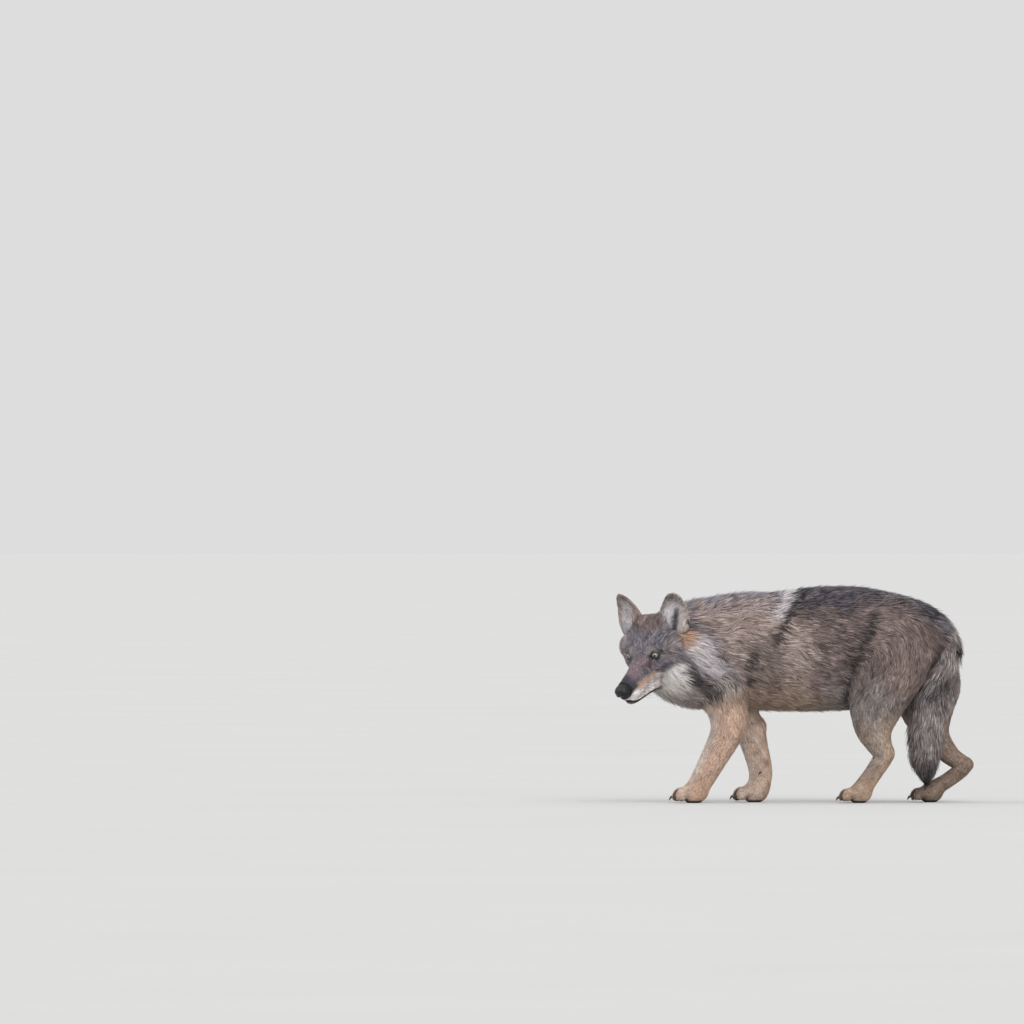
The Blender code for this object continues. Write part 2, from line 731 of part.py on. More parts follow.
def add_eye(hand, side, hosts):
    f, out, up = EYE
    place = in_head((f, side * out, up))
    c, s = math.cos(GAZE_OUT), side * math.sin(GAZE_OUT)
    gaze = HEAD_AXES @ np.array(((c, -s, 0), (s, c, 0), (0, 0, 1)))
    turn = Matrix(gaze.tolist()).to_4x4() @ Matrix.Rotation(math.pi / 2, 4, "Y")
    mesh = bmesh.new()
    bmesh.ops.create_uvsphere(mesh, u_segments=14, v_segments=9, radius=EYE_RADIUS,
                              matrix=Matrix.Translation(place.tolist()) @ turn)
    eye = from_bmesh(f"eye_{hand}", mesh)
    seat(eye, hosts)
    opening = shell_object("opening", Ball(place + EYE_RADIUS * gaze[:, 0], ORBIT, gaze), finer=3)
    for host in hosts:
        combine(host, opening, "DIFFERENCE")
    drop(opening)
    return eye


def add_ear(hand, side, hosts):
    mesh = bmesh.new()
    ear_shell(side, mesh)
    bmesh.ops.recalc_face_normals(mesh, faces=mesh.faces)
    ear = from_bmesh(f"ear_{hand}", mesh)
    seat(ear, hosts)
    return ear


def part_trunk(body):
    root = take("tail_root", body, TAIL_ROOT_CUTS)
    neck = take("neck", body, [NECK_CUT])
    chest = take("chest", body, [CHEST_CUT])
    abdomen = take("abdomen", body, [ABDOMEN_CUT])
    body.name = "rump"
    return [neck, chest, abdomen, body, root]


def hang_tail(root, hosts):
    """The free tail: its own tube, parted from the root and into three lengths."""
    rest = shell_object("tail_tip", Tube(TAIL, steps=2), corners=14)
    top = take("top", rest, [flipped(TAIL_CUTS[0])])
    root_side = cell([TAIL_CUTS[0]], SEAM)
    combine(root, root_side, "DIFFERENCE")
    drop(top, root_side)
    seat(rest, hosts)
    upper = take("tail_upper", rest, [flipped(TAIL_CUTS[1])])
    brush = take("tail_brush", rest, [flipped(TAIL_CUTS[2])])
    return [upper, brush, rest]


# ---------------------------------------------------------------- looks

COLOURS = (  # the first name that a piece's name starts with decides
    ("head", (0.30, 0.25, 0.19)), ("muzzle", (0.33, 0.25, 0.18)), ("lower_jaw", (0.62, 0.56, 0.47)),
    ("nose", (0.010, 0.010, 0.012)), ("eye", (0.45, 0.32, 0.12)), ("ear", (0.36, 0.26, 0.17)),
    ("neck", (0.42, 0.35, 0.26)), ("chest", (0.28, 0.22, 0.16)), ("abdomen", (0.33, 0.26, 0.18)),
    ("rump", (0.25, 0.21, 0.16)), ("tail_tip", (0.05, 0.045, 0.04)), ("tail", (0.27, 0.24, 0.19)),
    ("claw", (0.03, 0.027, 0.024)), ("dewclaw", (0.03, 0.027, 0.024)), ("", (0.42, 0.31, 0.20)),
)
SMOOTH_ROUGHNESS = {"nose": 0.35, "eye": 0.08, "claw": 0.40, "dewclaw": 0.40}
COAT_ROUGHNESS = 0.90


def finish(piece):
    """Moves the piece with the model's middle to the origin, and gives it its shading and colour."""
    for vert in piece.data.vertices:
        vert.co -= Vector((*MIDDLE, 0.0))
    piece.data.polygons.foreach_set("use_smooth", [True] * len(piece.data.polygons))
    piece.data.set_sharp_from_angle(angle=SHARP)
    piece.data.name = piece.name
    skin = bpy.data.materials.new(piece.name)
    skin.use_nodes = True
    shader = skin.node_tree.nodes["Principled BSDF"]
    colour = next(value for start, value in COLOURS if piece.name.startswith(start))
    shader.inputs["Base Color"].default_value = (*colour, 1.0)
    kind = piece.name.split("_")[0]
    shader.inputs["Roughness"].default_value = SMOOTH_ROUGHNESS.get(kind, COAT_ROUGHNESS)
    shader.inputs["Metallic"].default_value = 0.0
    piece.data.materials.clear()
    piece.data.materials.append(skin)


def main():
    for old in list(bpy.data.objects):
        bpy.data.objects.remove(old)
    body = whole_body()
    head, muzzle, jaw = part_head(body)
    legs = {leg: part_leg(body, leg) for leg in LEGS}
    trunk = part_trunk(body)
    face = [head, muzzle, jaw]
    rest = trunk + [piece for leg in legs.values() for piece in leg]
    thinned(face, KEPT_SHARES[0])
    thinned(rest, KEPT_SHARES[1])
    pieces = face + rest
    neck, chest, abdomen, rump, tail_root = trunk
    shoulders = [legs["fore_left"][0], legs["fore_right"][0]]
    thighs = [legs["hind_left"][0], legs["hind_right"][0]]
    for shoulder in shoulders:  # thinning rounds off the notches that hold these pieces
        seat(shoulder, [neck, chest], SEAM / 2)
    for thigh in thighs:
        seat(thigh, [abdomen, rump, tail_root], SEAM / 2)
    seat(muzzle, [jaw], SEAM / 2)
    pieces += hang_tail(tail_root, thighs + [rump])
    for leg, leg_pieces in legs.items():
        pieces += add_claws(leg, leg_pieces[-1], leg_pieces[-2])
    pieces.append(add_nose(muzzle))
    for side, hand in ((1, "left"), (-1, "right")):
        pieces.append(add_eye(hand, side, [head, muzzle]))
        pieces.append(add_ear(hand, side, [head, neck]))
    for piece in pieces:
        finish(piece)


main()
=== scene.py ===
"""The looks of the prowling grey wolf: one skin over all its flesh, a coat of joined tufts, and its eyes,
lids, nose, claws and whiskers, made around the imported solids.

The solids reach out to the tips of the coat. The skin is the same blend of named masses, drawn in by the
depth of the coat, with finer forms on the face. Each tuft is a thin closed blade that follows the lie of
the coat from the skin out to the solids' surface.
"""

import math

import bmesh
import bpy
import numpy as np
from mathutils import Matrix, Vector
from mathutils.bvhtree import BVHTree
from mathutils.kdtree import KDTree


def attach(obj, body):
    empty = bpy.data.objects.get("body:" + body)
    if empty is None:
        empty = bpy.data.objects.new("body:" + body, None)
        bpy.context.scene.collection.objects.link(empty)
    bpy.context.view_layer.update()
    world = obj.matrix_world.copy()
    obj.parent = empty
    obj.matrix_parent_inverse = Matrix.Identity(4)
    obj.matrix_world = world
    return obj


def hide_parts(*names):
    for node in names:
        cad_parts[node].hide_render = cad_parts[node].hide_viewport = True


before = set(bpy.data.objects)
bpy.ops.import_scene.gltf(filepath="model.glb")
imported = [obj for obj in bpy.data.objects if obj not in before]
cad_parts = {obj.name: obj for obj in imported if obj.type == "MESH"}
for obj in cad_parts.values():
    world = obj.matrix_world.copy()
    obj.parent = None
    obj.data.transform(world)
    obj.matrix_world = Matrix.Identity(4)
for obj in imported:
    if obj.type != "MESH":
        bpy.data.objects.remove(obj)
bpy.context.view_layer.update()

# ---------------------------------------------------------------- the masses, as in the solids

SHIFT = np.array((-0.0153, 0.0690, 0.0))  # from the masses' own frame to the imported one
VOXELS = (0.0085, 0.0032)  # grains of the two rounds of the skin
BODY_TRIANGLES = 56000  # of the skin, apart from the head and the feet
THINNING = 10.0  # how much rather the body is thinned than the head and the feet
REACH = 0.055  # how far beyond its surface a mass still counts
TUBE_CORNERS = 16

LEG_OUT = ((0.05, 0.34, 0.56), (0.066, 0.092, 0.052))  # heights, and how far out the legs stand there
EYE_RADIUS = 0.0142
EYE = (-0.006, 0.046, 0.005)  # forward, out and up, in the head's frame
GAZE_OUT = math.radians(22)

HEAD_AT = np.array((-0.4565, -0.167, 0.455))
HEAD_TURN = math.radians(54)
HEAD_NOD = math.radians(32)
HEAD_ROLL = math.radians(1.5)

SIDEWAYS = (0.0, 1.0, 0.0)

# The trunk: x, height of its top and its underside, half width.
TRUNK = (
    (-0.255, 0.570, 0.318, 0.092),
    (-0.175, 0.630, 0.292, 0.120),
    (-0.050, 0.650, 0.284, 0.131),
    (0.070, 0.669, 0.283, 0.135),
    (0.170, 0.673, 0.287, 0.132),
    (0.250, 0.669, 0.315, 0.124),
    (0.330, 0.649, 0.370, 0.114),
    (0.400, 0.616, 0.405, 0.096),
    (0.442, 0.580, 0.452, 0.056),
)
# Neck and tail: x, y, z, half width, half depth.
NECK = (
    (-0.110, 0.000, 0.490, 0.115, 0.148),
    (-0.200, -0.012, 0.474, 0.122, 0.164),
    (-0.275, -0.045, 0.461, 0.128, 0.171),
    (-0.335, -0.082, 0.460, 0.122, 0.156),
    (-0.372, -0.088, 0.468, 0.096, 0.120),
)
TAIL_ROOT = (
    (0.400, 0.000, 0.578, 0.038, 0.032),
    (0.460, 0.000, 0.546, 0.040, 0.038),
    (0.492, -0.004, 0.500, 0.041, 0.042),
    (0.497, -0.012, 0.456, 0.040, 0.042),
)
TAIL = (
    (0.494, -0.007, 0.485, 0.041, 0.043),
    (0.492, -0.015, 0.440, 0.040, 0.042),
    (0.476, -0.022, 0.404, 0.040, 0.043),
    (0.446, -0.030, 0.354, 0.045, 0.052),
    (0.430, -0.033, 0.298, 0.048, 0.059),
    (0.422, -0.034, 0.226, 0.047, 0.060),
    (0.419, -0.034, 0.164, 0.043, 0.056),
    (0.420, -0.034, 0.124, 0.036, 0.046),
    (0.423, -0.034, 0.088, 0.022, 0.028),
    (0.425, -0.034, 0.066, 0.009, 0.011),
)
# Legs: x, z, half width, half depth, from the top down.
LEFT_FORELEG = (
    (-0.190, 0.460, 0.042, 0.075),
    (-0.215, 0.380, 0.048, 0.078),
    (-0.200, 0.315, 0.047, 0.068),
    (-0.190, 0.255, 0.044, 0.058),
    (-0.200, 0.208, 0.040, 0.050),
    (-0.230, 0.149, 0.035, 0.043),
    (-0.262, 0.090, 0.033, 0.038),
    (-0.282, 0.054, 0.034, 0.035),
)
RIGHT_FORELEG = (
    (-0.165, 0.460, 0.042, 0.075),
    (-0.185, 0.380, 0.048, 0.076),
    (-0.160, 0.315, 0.047, 0.064),
    (-0.140, 0.262, 0.043, 0.050),
    (-0.120, 0.215, 0.039, 0.046),
    (-0.102, 0.155, 0.034, 0.040),
    (-0.089, 0.098, 0.032, 0.037),
    (-0.092, 0.056, 0.033, 0.035),
)
LEFT_HINDLEG = (
    (0.345, 0.545, 0.048, 0.100),
    (0.325, 0.450, 0.058, 0.112),
    (0.285, 0.365, 0.055, 0.104),
    (0.264, 0.290, 0.046, 0.082),
    (0.259, 0.232, 0.039, 0.060),
    (0.275, 0.184, 0.032, 0.041),
    (0.290, 0.148, 0.028, 0.032),
    (0.262, 0.098, 0.027, 0.028),
    (0.230, 0.052, 0.030, 0.029),
)
RIGHT_HINDLEG = (
    (0.365, 0.545, 0.048, 0.100),
    (0.400, 0.450, 0.058, 0.112),
    (0.424, 0.365, 0.053, 0.112),
    (0.429, 0.286, 0.045, 0.085),
    (0.450, 0.208, 0.036, 0.050),
    (0.500, 0.146, 0.029, 0.031),
    (0.541, 0.112, 0.026, 0.026),
    (0.498, 0.072, 0.026, 0.024),
    (0.454, 0.046, 0.029, 0.025),
)
ELBOW_BEHIND = {-1: 0.040, 1: 0.028}  # how far each elbow lies behind the middle of its leg
ELBOW_ABOVE = 0.022  # and above the station nearest to it
ELBOW = (0.021, 0.022, 0.026)  # radii
HEEL_OFF = (0.016, 0.006)  # how far the heel lies behind and above the station nearest to it
HEEL = (0.017, 0.016, 0.019)
FOOT_AHEAD = 0.020  # how far a foot's middle lies ahead of its leg's end
HIND_FOOT = 0.92  # its size, as a share of a forefoot's
TOES = ((-0.031, 0.050), (-0.0112, 0.065), (0.0112, 0.065), (0.031, 0.050))  # place sideways, and reach
TOE_RADII = (0.0165, 0.0172, 0.0145)  # at its root, its knuckle and its tip
TOE_TIP = (0.013, 0.0155)  # how far its tip's middle lies behind its reach, and above the ground
LEGS = {
    "fore_left": (LEFT_FORELEG, -1, 1.0),
    "fore_right": (RIGHT_FORELEG, 1, 1.0),
    "hind_left": (LEFT_HINDLEG, -1, HIND_FOOT),
    "hind_right": (RIGHT_HINDLEG, 1, HIND_FOOT),
}

# Muzzle and jaw, in the head's frame: forward, up, half width, half depth.
MUZZLE = (
    (-0.020, -0.046, 0.052, 0.050),
    (0.030, -0.040, 0.042, 0.047),
    (0.070, -0.042, 0.033, 0.042),
    (0.108, -0.043, 0.029, 0.038),
    (0.131, -0.0445, 0.025, 0.031),
    (0.142, -0.047, 0.019, 0.022),
)
JAW = (
    (-0.070, -0.082, 0.046, 0.036),
    (0.000, -0.092, 0.034, 0.024),
    (0.060, -0.090, 0.024, 0.016),
    (0.110, -0.084, 0.019, 0.013),
    (0.130, -0.078, 0.015, 0.010),
)
# Balls of the head: middle and radii.
SKULL = ((-0.066, 0.000, 0.006), (0.080, 0.070, 0.055))
BROW = ((-0.020, 0.036, 0.016), (0.032, 0.024, 0.015))
SKULL_LEAN = math.radians(22)  # the front downwards
BROW_LEAN = math.radians(20)
CHEEKBONE = ((-0.044, 0.056, -0.026), (0.050, 0.036, 0.038))
CHEEK_RUFF = ((-0.092, 0.068, -0.046), (0.060, 0.052, 0.068))
NAPE = ((-0.112, 0.032, 0.000), (0.060, 0.052, 0.056))
SIDE_RUFF = ((-0.112, 0.084, -0.026), (0.042, 0.055, 0.062))
CHEEK_TUFT = ((-0.050, 0.086, 0.012), (0.032, 0.022, 0.028))
THROAT = ((-0.085, 0.000, -0.095), (0.078, 0.058, 0.046))
EAR_ROOT = ((-0.095, 0.032, 0.046), (0.034, 0.036, 0.040))
# An ear: forward, out, up, half width, half depth.
EAR = (
    (-0.090, 0.069, 0.010, 0.040, 0.028),
    (-0.104, 0.081, 0.053, 0.049, 0.028),
    (-0.111, 0.087, 0.100, 0.043, 0.022),
    (-0.115, 0.094, 0.136, 0.025, 0.012),
    (-0.113, 0.096, 0.152, 0.009, 0.004),
)
EAR_TURN = math.radians(14)
EAR_WALL = 0.0050
EAR_HOLLOW = (0.24, 0.55)  # between these shares of its height the ear opens
EAR_BULGE = 0.7  # how far its solid root bows forward, as a share of its depth
EAR_CUP = 0.9  # and how far its open part is hollowed
EAR_CORNERS = 12
NOSE = ((0.149, 0.0, -0.032), (0.0215, 0.0245, 0.0205))
LIPS = ((0.150, -0.066), (0.140, -0.076), (0.123, -0.085), (0.100, -0.090), (0.075, -0.094), (0.040, -0.100),
        (0.014, -0.106))

# The coat on each kind of mass: length of the hairs, depth of the coat, width and spacing of the tufts.
COATS = {
    "trunk": (0.044, 0.018, 0.0025, 0.0029),
    "neck": (0.052, 0.024, 0.0026, 0.0029),
    "tail": (0.052, 0.024, 0.0027, 0.0029),
    "skull": (0.012, 0.0036, 0.0012, 0.0015),
    "temple": (0.024, 0.0080, 0.0016, 0.0019),
    "crown": (0.020, 0.0070, 0.0016, 0.0019),
    "brow": (0.008, 0.0020, 0.0010, 0.0013),
    "cheekbone": (0.014, 0.0045, 0.0013, 0.0016),
    "cheek": (0.030, 0.0140, 0.0018, 0.0022),
    "nape": (0.038, 0.0160, 0.0022, 0.0025),
    "ruff": (0.044, 0.0200, 0.0022, 0.0026),
    "throat": (0.034, 0.0140, 0.0021, 0.0024),
    "ear": (0.008, 0.0010, 0.0012, 0.0016),
}
# The same along the legs, by height, and along the muzzle, by the place forward.
LEG_HEIGHTS = (0.0, 0.03, 0.10, 0.20, 0.32, 0.45, 0.56)
LEG_COAT = (
    (0.007, 0.008, 0.012, 0.018, 0.030, 0.042, 0.050),
    (0.0012, 0.0018, 0.0030, 0.0050, 0.0090, 0.0140, 0.0180),
    (0.0013, 0.0014, 0.0017, 0.0021, 0.0024, 0.0026, 0.0027),
    (0.0019, 0.0020, 0.0023, 0.0026, 0.0028, 0.0029, 0.0030),
)
MUZZLE_REACH = (-0.03, 0.02, 0.14)
MUZZLE_COAT = (
    (0.014, 0.009, 0.0045),
    (0.0040, 0.0024, 0.0010),
    (0.0015, 0.0012, 0.0009),
    (0.0019, 0.0016, 0.0013),
)
WEIGHT_SPREAD = 0.010  # how far apart two masses' surfaces may be for both to shape the coat
THIN_SHARE = 0.6  # the coat is never deeper than this share of a mass's radius


def unit(v):
    v = np.asarray(v, float)
    return v / np.maximum(np.linalg.norm(v, axis=-1, keepdims=True), 1e-12)


def smooth_step(low, high, value):
    t = np.clip((value - low) / (high - low), 0, 1)
    return t * t * (3 - 2 * t)


def head_frame():
    """The head's axes, forward, left and up, as the columns of a matrix."""
    level = np.array((-math.cos(HEAD_TURN), -math.sin(HEAD_TURN), 0.0))
    up = np.array((0.0, 0.0, 1.0))
    forward = math.cos(HEAD_NOD) * level - math.sin(HEAD_NOD) * up
    left = np.cross(up, level)
    crown = np.cross(forward, left)
    roll = math.cos(HEAD_ROLL), math.sin(HEAD_ROLL)
    return np.stack((forward, roll[0] * left + roll[1] * crown, roll[0] * crown - roll[1] * left), 1)


HEAD_AXES = head_frame()


def in_head(point):
    return HEAD_AT + HEAD_AXES @ np.asarray(point, float)


def to_head(points):
    return (points - HEAD_AT) @ HEAD_AXES


def gaze_axes(side):
    """An eye's axes, out of the pupil, sideways and up, as the columns of a matrix."""
    c, s = math.cos(GAZE_OUT), side * math.sin(GAZE_OUT)
    return HEAD_AXES @ np.array(((c, -s, 0), (s, c, 0), (0, 0, 1)))


def smooth_through(rows, steps=4):
    """A Catmull-Rom curve through the rows, each an array of place and sizes."""
    rows = np.asarray(rows, float)
    padded = np.vstack((2 * rows[0] - rows[1], rows, 2 * rows[-1] - rows[-2]))
    found = []
    for a, b, c, d in zip(padded, padded[1:], padded[2:], padded[3:]):
        for t in np.arange(steps) / steps:
            found.append(0.5 * (2 * b + (c - a) * t + (2 * a - 5 * b + 4 * c - d) * t**2
                                + (3 * b - a - 3 * c + d) * t**3))
    return np.vstack((*found, rows[-1]))


def oval_distance(offsets, radii):
    """Near-true distance to an oval, from offsets and radii along its axes."""
    k0 = np.sqrt(sum((r / s) ** 2 for r, s in zip(offsets, radii)))
    k1 = np.sqrt(sum((r / s**2) ** 2 for r, s in zip(offsets, radii)))
    return k0 * (k0 - 1) / np.maximum(k1, 1e-6)


def join_rings(mesh, rings):
    """Faces between the rings, and over both ends."""
    for one, two in zip(rings, rings[1:]):
        for k in range(len(one)):
            n = (k + 1) % len(one)
            mesh.faces.new((one[k], one[n], two[n], two[k]))
    mesh.faces.new(rings[0][::-1])
    mesh.faces.new(rings[-1])


class Tube:
    """A bent tube: rows of x, y, z, half width along side, half width across side."""

    def __init__(self, rows, side=SIDEWAYS, steps=4):
        self.rows = smooth_through(rows, steps)
        self.side = unit(side)
        reach = self.rows[:, 3:].max() + REACH
        self.low = self.rows[:, :3].min(0) - reach
        self.high = self.rows[:, :3].max(0) + reach

    def axes(self, along):
        normal = unit(np.cross(along, self.side))
        return np.cross(normal, along), normal

    def stretches(self, points):
        """Each stretch of the tube: its direction, its smaller half width at each point, and the distance."""
        for start, end in zip(self.rows, self.rows[1:]):
            run = end[:3] - start[:3]
            along = unit(run)
            side, normal = self.axes(along)
            t = np.clip((points - start[:3]) @ run / (run @ run), 0, 1)
            off = points - start[:3] - t[:, None] * run
            wide, deep = (start[k] + (end[k] - start[k]) * t for k in (3, 4))
            thin = np.minimum(wide, deep)
            yield along, thin, oval_distance((off @ side, off @ normal, off @ along), (wide, deep, thin))

    def distance(self, points):
        best = np.full(len(points), 1.0)
        for _, _, found in self.stretches(points):
            best = np.minimum(best, found)
        return best

    def look(self, points):
        """Distance, direction of the nearest stretch, and its smaller half width."""
        best = np.full(len(points), 1.0)
        way = np.zeros((len(points), 3))
        radius = np.full(len(points), 0.02)
        for along, thin, found in self.stretches(points):
            nearer = found < best
            best = np.where(nearer, found, best)
            radius = np.where(nearer, thin, radius)
            way[nearer] = along
        return best, way, radius

    def add_shell(self, mesh, depth):
        rings = []
        for i, row in enumerate(self.rows):
            ahead = self.rows[min(i + 1, len(self.rows) - 1), :3] - self.rows[max(i - 1, 0), :3]
            side, normal = self.axes(unit(ahead))
            wide, deep = row[3:] - min(depth, THIN_SHARE * row[3:].min())
            turn = (2 * math.pi * k / TUBE_CORNERS for k in range(TUBE_CORNERS))
            rings.append([mesh.verts.new(row[:3] + wide * math.cos(a) * side + deep * math.sin(a) * normal)
                          for a in turn])
        join_rings(mesh, rings)


class Ball:
    """An oval ball with its own axes."""

    def __init__(self, centre, radii, axes=None):
        self.centre = np.asarray(centre, float)
        self.radii = np.asarray(radii, float)
        self.axes = np.eye(3) if axes is None else np.asarray(axes)
        reach = self.radii.max() + REACH
        self.low, self.high = self.centre - reach, self.centre + reach

    def distance(self, points):
        return oval_distance(((points - self.centre) @ self.axes).T, self.radii)

    def look(self, points):
        count = len(points)
        return self.distance(points), np.zeros((count, 3)), np.full(count, self.radii.min())

    def add_shell(self, mesh, depth):
        turn = Matrix(self.axes.tolist()).to_4x4()
        radii = self.radii - min(depth, THIN_SHARE * self.radii.min())
        size = Matrix.Diagonal((*radii.tolist(), 1.0))
        place = Matrix.Translation(self.centre.tolist()) @ turn @ size
        bmesh.ops.create_icosphere(mesh, subdivisions=3, radius=1.0, matrix=place)


class Mass:
    """A shape of the body, how widely it blends, its coat, the lie of its hairs, and its region.

    The lie is 1 or -1 along a tube, or a direction.
    """

    def __init__(self, shape, blend, coat, lie, region):
        self.shape = shape
        self.blend = blend
        self.coat = coat
        self.lie = lie
        self.region = region

    def near(self, points):
        return ((points > self.shape.low) & (points < self.shape.high)).all(1)

    def distance(self, points):
        found = np.full(len(points), 1.0)
        inside = self.near(points)
        if inside.any():
            found[inside] = self.shape.distance(points[inside])
        return found

    def look(self, points):
        """Distance, lie and radius, worked out only for the points within its reach."""
        count = len(points)
        distance, lie, radius = np.full(count, 1.0), np.zeros((count, 3)), np.full(count, 1.0)
        inside = self.near(points)
        if inside.any():
            found, way, thin = self.shape.look(points[inside])
            distance[inside], radius[inside] = found, thin
            lie[inside] = way * self.lie if np.isscalar(self.lie) else self.lie
        return distance, lie, radius

    def coat_at(self, points):
        if self.coat == "leg":
            return [np.interp(points[:, 2], LEG_HEIGHTS, row) for row in LEG_COAT]
        if self.coat == "muzzle":
            forward = to_head(points)[:, 0]
            return [np.interp(forward, MUZZLE_REACH, row) for row in MUZZLE_COAT]
        return [np.full(len(points), value) for value in COATS[self.coat]]

    def typical_depth(self):
        if self.coat == "leg":
            height = self.shape.low[2] * 0.5 + self.shape.high[2] * 0.5
            return float(np.interp(height, LEG_HEIGHTS, LEG_COAT[1]))
        return MUZZLE_COAT[1][1] if self.coat == "muzzle" else COATS[self.coat][1]


def smooth_min(a, b, width):
    """The smaller of two fields, rounded where they meet."""
    share = np.maximum(width - np.abs(a - b), 0) / width
    return np.minimum(a, b) - share * share * width / 4


def trunk_rows():
    return [(x, 0.0, (top + low) / 2, wide, (top - low) / 2) for x, top, low, wide in TRUNK]


def leg_rows(stations, side):
    return [(x, side * np.interp(z, *LEG_OUT), z, wide, deep) for x, z, wide, deep in stations]


def foot_x(stations):
    return stations[-1][0] - FOOT_AHEAD


def foot_shapes(x, side, size):
    """A foot: its pad, and four toes, the middle two longer."""
    y = side * LEG_OUT[1][0]
    shapes = [(Ball((x + 0.004, y, 0.030 * size), (0.042 * size, 0.037 * size, 0.033 * size)), 0.016)]
    for out, reach in TOES:
        places = ((0.012, 0.8, 0.032), (reach * 0.62, 0.97, 0.031), (reach - TOE_TIP[0], 1.0, TOE_TIP[1]))
        rows = [(x - ahead * size, y + out * share * size, z * size, radius * size, radius * size)
                for (ahead, share, z), radius in zip(places, TOE_RADII)]
        shapes.append((Tube(rows, steps=3), 0.006))
    return shapes


def leg_masses(leg):
    stations, side, size = LEGS[leg]
    upright = leg_rows(stations, side)
    masses = [Mass(Tube(upright), 0.035, "leg", 1, leg)]
    if leg.startswith("fore"):
        (x, z), off, radii, blend = stations[4][:2], (ELBOW_BEHIND[side], ELBOW_ABOVE), ELBOW, 0.02
    else:
        (x, z), off, radii, blend = stations[6][:2], HEEL_OFF, HEEL, 0.012
    x, z = x + off[0], z + off[1]
    centre = (x, side * np.interp(z, *LEG_OUT), z)
    masses.append(Mass(Ball(centre, radii), blend, "leg", np.array((0.3, 0.0, -1.0)), leg))
    for shape, width in foot_shapes(foot_x(stations), side, size):
        lie = 1 if isinstance(shape, Tube) else np.array((-1.0, 0.0, -0.7))
        masses.append(Mass(shape, width, "leg", lie, leg))
    return masses


def head_tube(rows):
    placed = [(*in_head((forward, 0.0, up)), wide, tall) for forward, up, wide, tall in rows]
    return Tube(placed, HEAD_AXES @ np.array(SIDEWAYS), 8)


def head_ball(sizes, side=1, lean=0.0):
    (forward, out, up), radii = sizes
    c, s = math.cos(lean), math.sin(lean)
    tilt = np.array(((c, 0, s), (0, 1, 0), (-s, 0, c)))
    return Ball(in_head((forward, side * out, up)), radii, HEAD_AXES @ tilt)


def head_way(forward, out, up, side=1):
    return HEAD_AXES @ unit((forward, side * out, up))


def body_masses():
    masses = [
        Mass(Tube(trunk_rows()), 0.02, "trunk", 1, "trunk"),
        Mass(Tube(NECK), 0.06, "neck", -1, "neck"),
        Mass(Tube(TAIL_ROOT), 0.03, "trunk", 1, "tail"),
    ]
    for leg in LEGS:
        masses += leg_masses(leg)
    masses += [
        Mass(head_ball(SKULL, lean=SKULL_LEAN), 0.04, "skull", head_way(-1, 0, 0.1), "face"),
        Mass(head_tube(MUZZLE), 0.03, "muzzle", -1, "face"),
        Mass(head_ball(THROAT), 0.04, "throat", head_way(-1, 0, -0.6), "ruff"),
        Mass(head_tube(JAW), 0.020, "muzzle", -1, "face"),
    ]
    for side in (-1, 1):
        masses += [
            Mass(head_ball(NAPE, side), 0.05, "nape", head_way(-1, 0.1, -0.1, side), "ruff"),
            Mass(head_ball(BROW, side, BROW_LEAN), 0.02, "brow", head_way(-1, 0.25, 0.3, side), "face"),
            Mass(head_ball(CHEEKBONE, side), 0.025, "cheekbone", head_way(-1, 0.3, -0.15, side), "face"),
            Mass(head_ball(CHEEK_RUFF, side), 0.04, "cheek", head_way(-0.8, 0.6, -0.65, side), "ruff"),
            Mass(head_ball(SIDE_RUFF, side), 0.05, "ruff", head_way(-0.9, 0.5, -0.55, side), "ruff"),
            Mass(head_ball(EAR_ROOT, side), 0.03, "crown", head_way(-0.8, 0.1, 0.6, side), "face"),
            Mass(head_ball(CHEEK_TUFT, side), 0.03, "temple", head_way(-0.9, 0.4, -0.2, side), "face"),
        ]
    masses.append(Mass(Tube(TAIL), 0.004, "tail", 1, "tail"))
    return masses


MASSES = body_masses()
HEAD_MASSES = [mass for mass in MASSES if mass.region in ("face", "ruff", "neck")]
REGIONS = ["trunk", "neck", "tail", "fore_left", "fore_right", "hind_left", "hind_right", "face", "ruff"]


def body_distance(points, masses=MASSES):
    total = np.full(len(points), 1.0)
    for mass in masses:
        total = smooth_min(total, mass.distance(points), mass.blend)
    return np.maximum(total, -points[:, 2])


def coat_fields(points):
    """At each point, the lie, the coat's four sizes and the region, blended from the masses near it."""
    looks = [mass.look(points) for mass in MASSES]
    distances = np.stack([look[0] for look in looks])
    weights = np.exp(-np.clip(distances - distances.min(0), 0, 0.2) / WEIGHT_SPREAD)
    weights /= weights.sum(0)
    lie = np.zeros_like(points)
    sizes = np.zeros((4, len(points)))
    shares = np.zeros((len(REGIONS), len(points)))
    for mass, weight, (_, way, radius) in zip(MASSES, weights, looks):
        used = weight > 0.004
        if not used.any():
            continue
        length, depth, width, spacing = mass.coat_at(points[used])
        depth = np.minimum(depth, THIN_SHARE * radius[used])
        lie[used] += weight[used, None] * way[used]
        sizes[:, used] += weight[used] * np.stack((length, depth, width, spacing))
        shares[REGIONS.index(mass.region)] += weight
    sizes[1] *= smooth_step(0.0, 0.012, points[:, 2])
    return unit(lie), sizes, shares.argmax(0)


# ---------------------------------------------------------------- mesh helpers

def new_object(name, data):
    made = bpy.data.objects.new(name, data)
    bpy.context.scene.collection.objects.link(made)
    return made


def object_from(name, mesh):
    data = bpy.data.meshes.new(name)
    mesh.to_mesh(data)
    mesh.free()
    return new_object(name, data)


def baked(obj):
    """Replaces the object's mesh by what its modifiers make of it."""
    bpy.context.view_layer.update()
    graph = bpy.context.evaluated_depsgraph_get()
    data = bpy.data.meshes.new_from_object(obj.evaluated_get(graph), depsgraph=graph)
    obj.modifiers.clear()
    obj.data = data


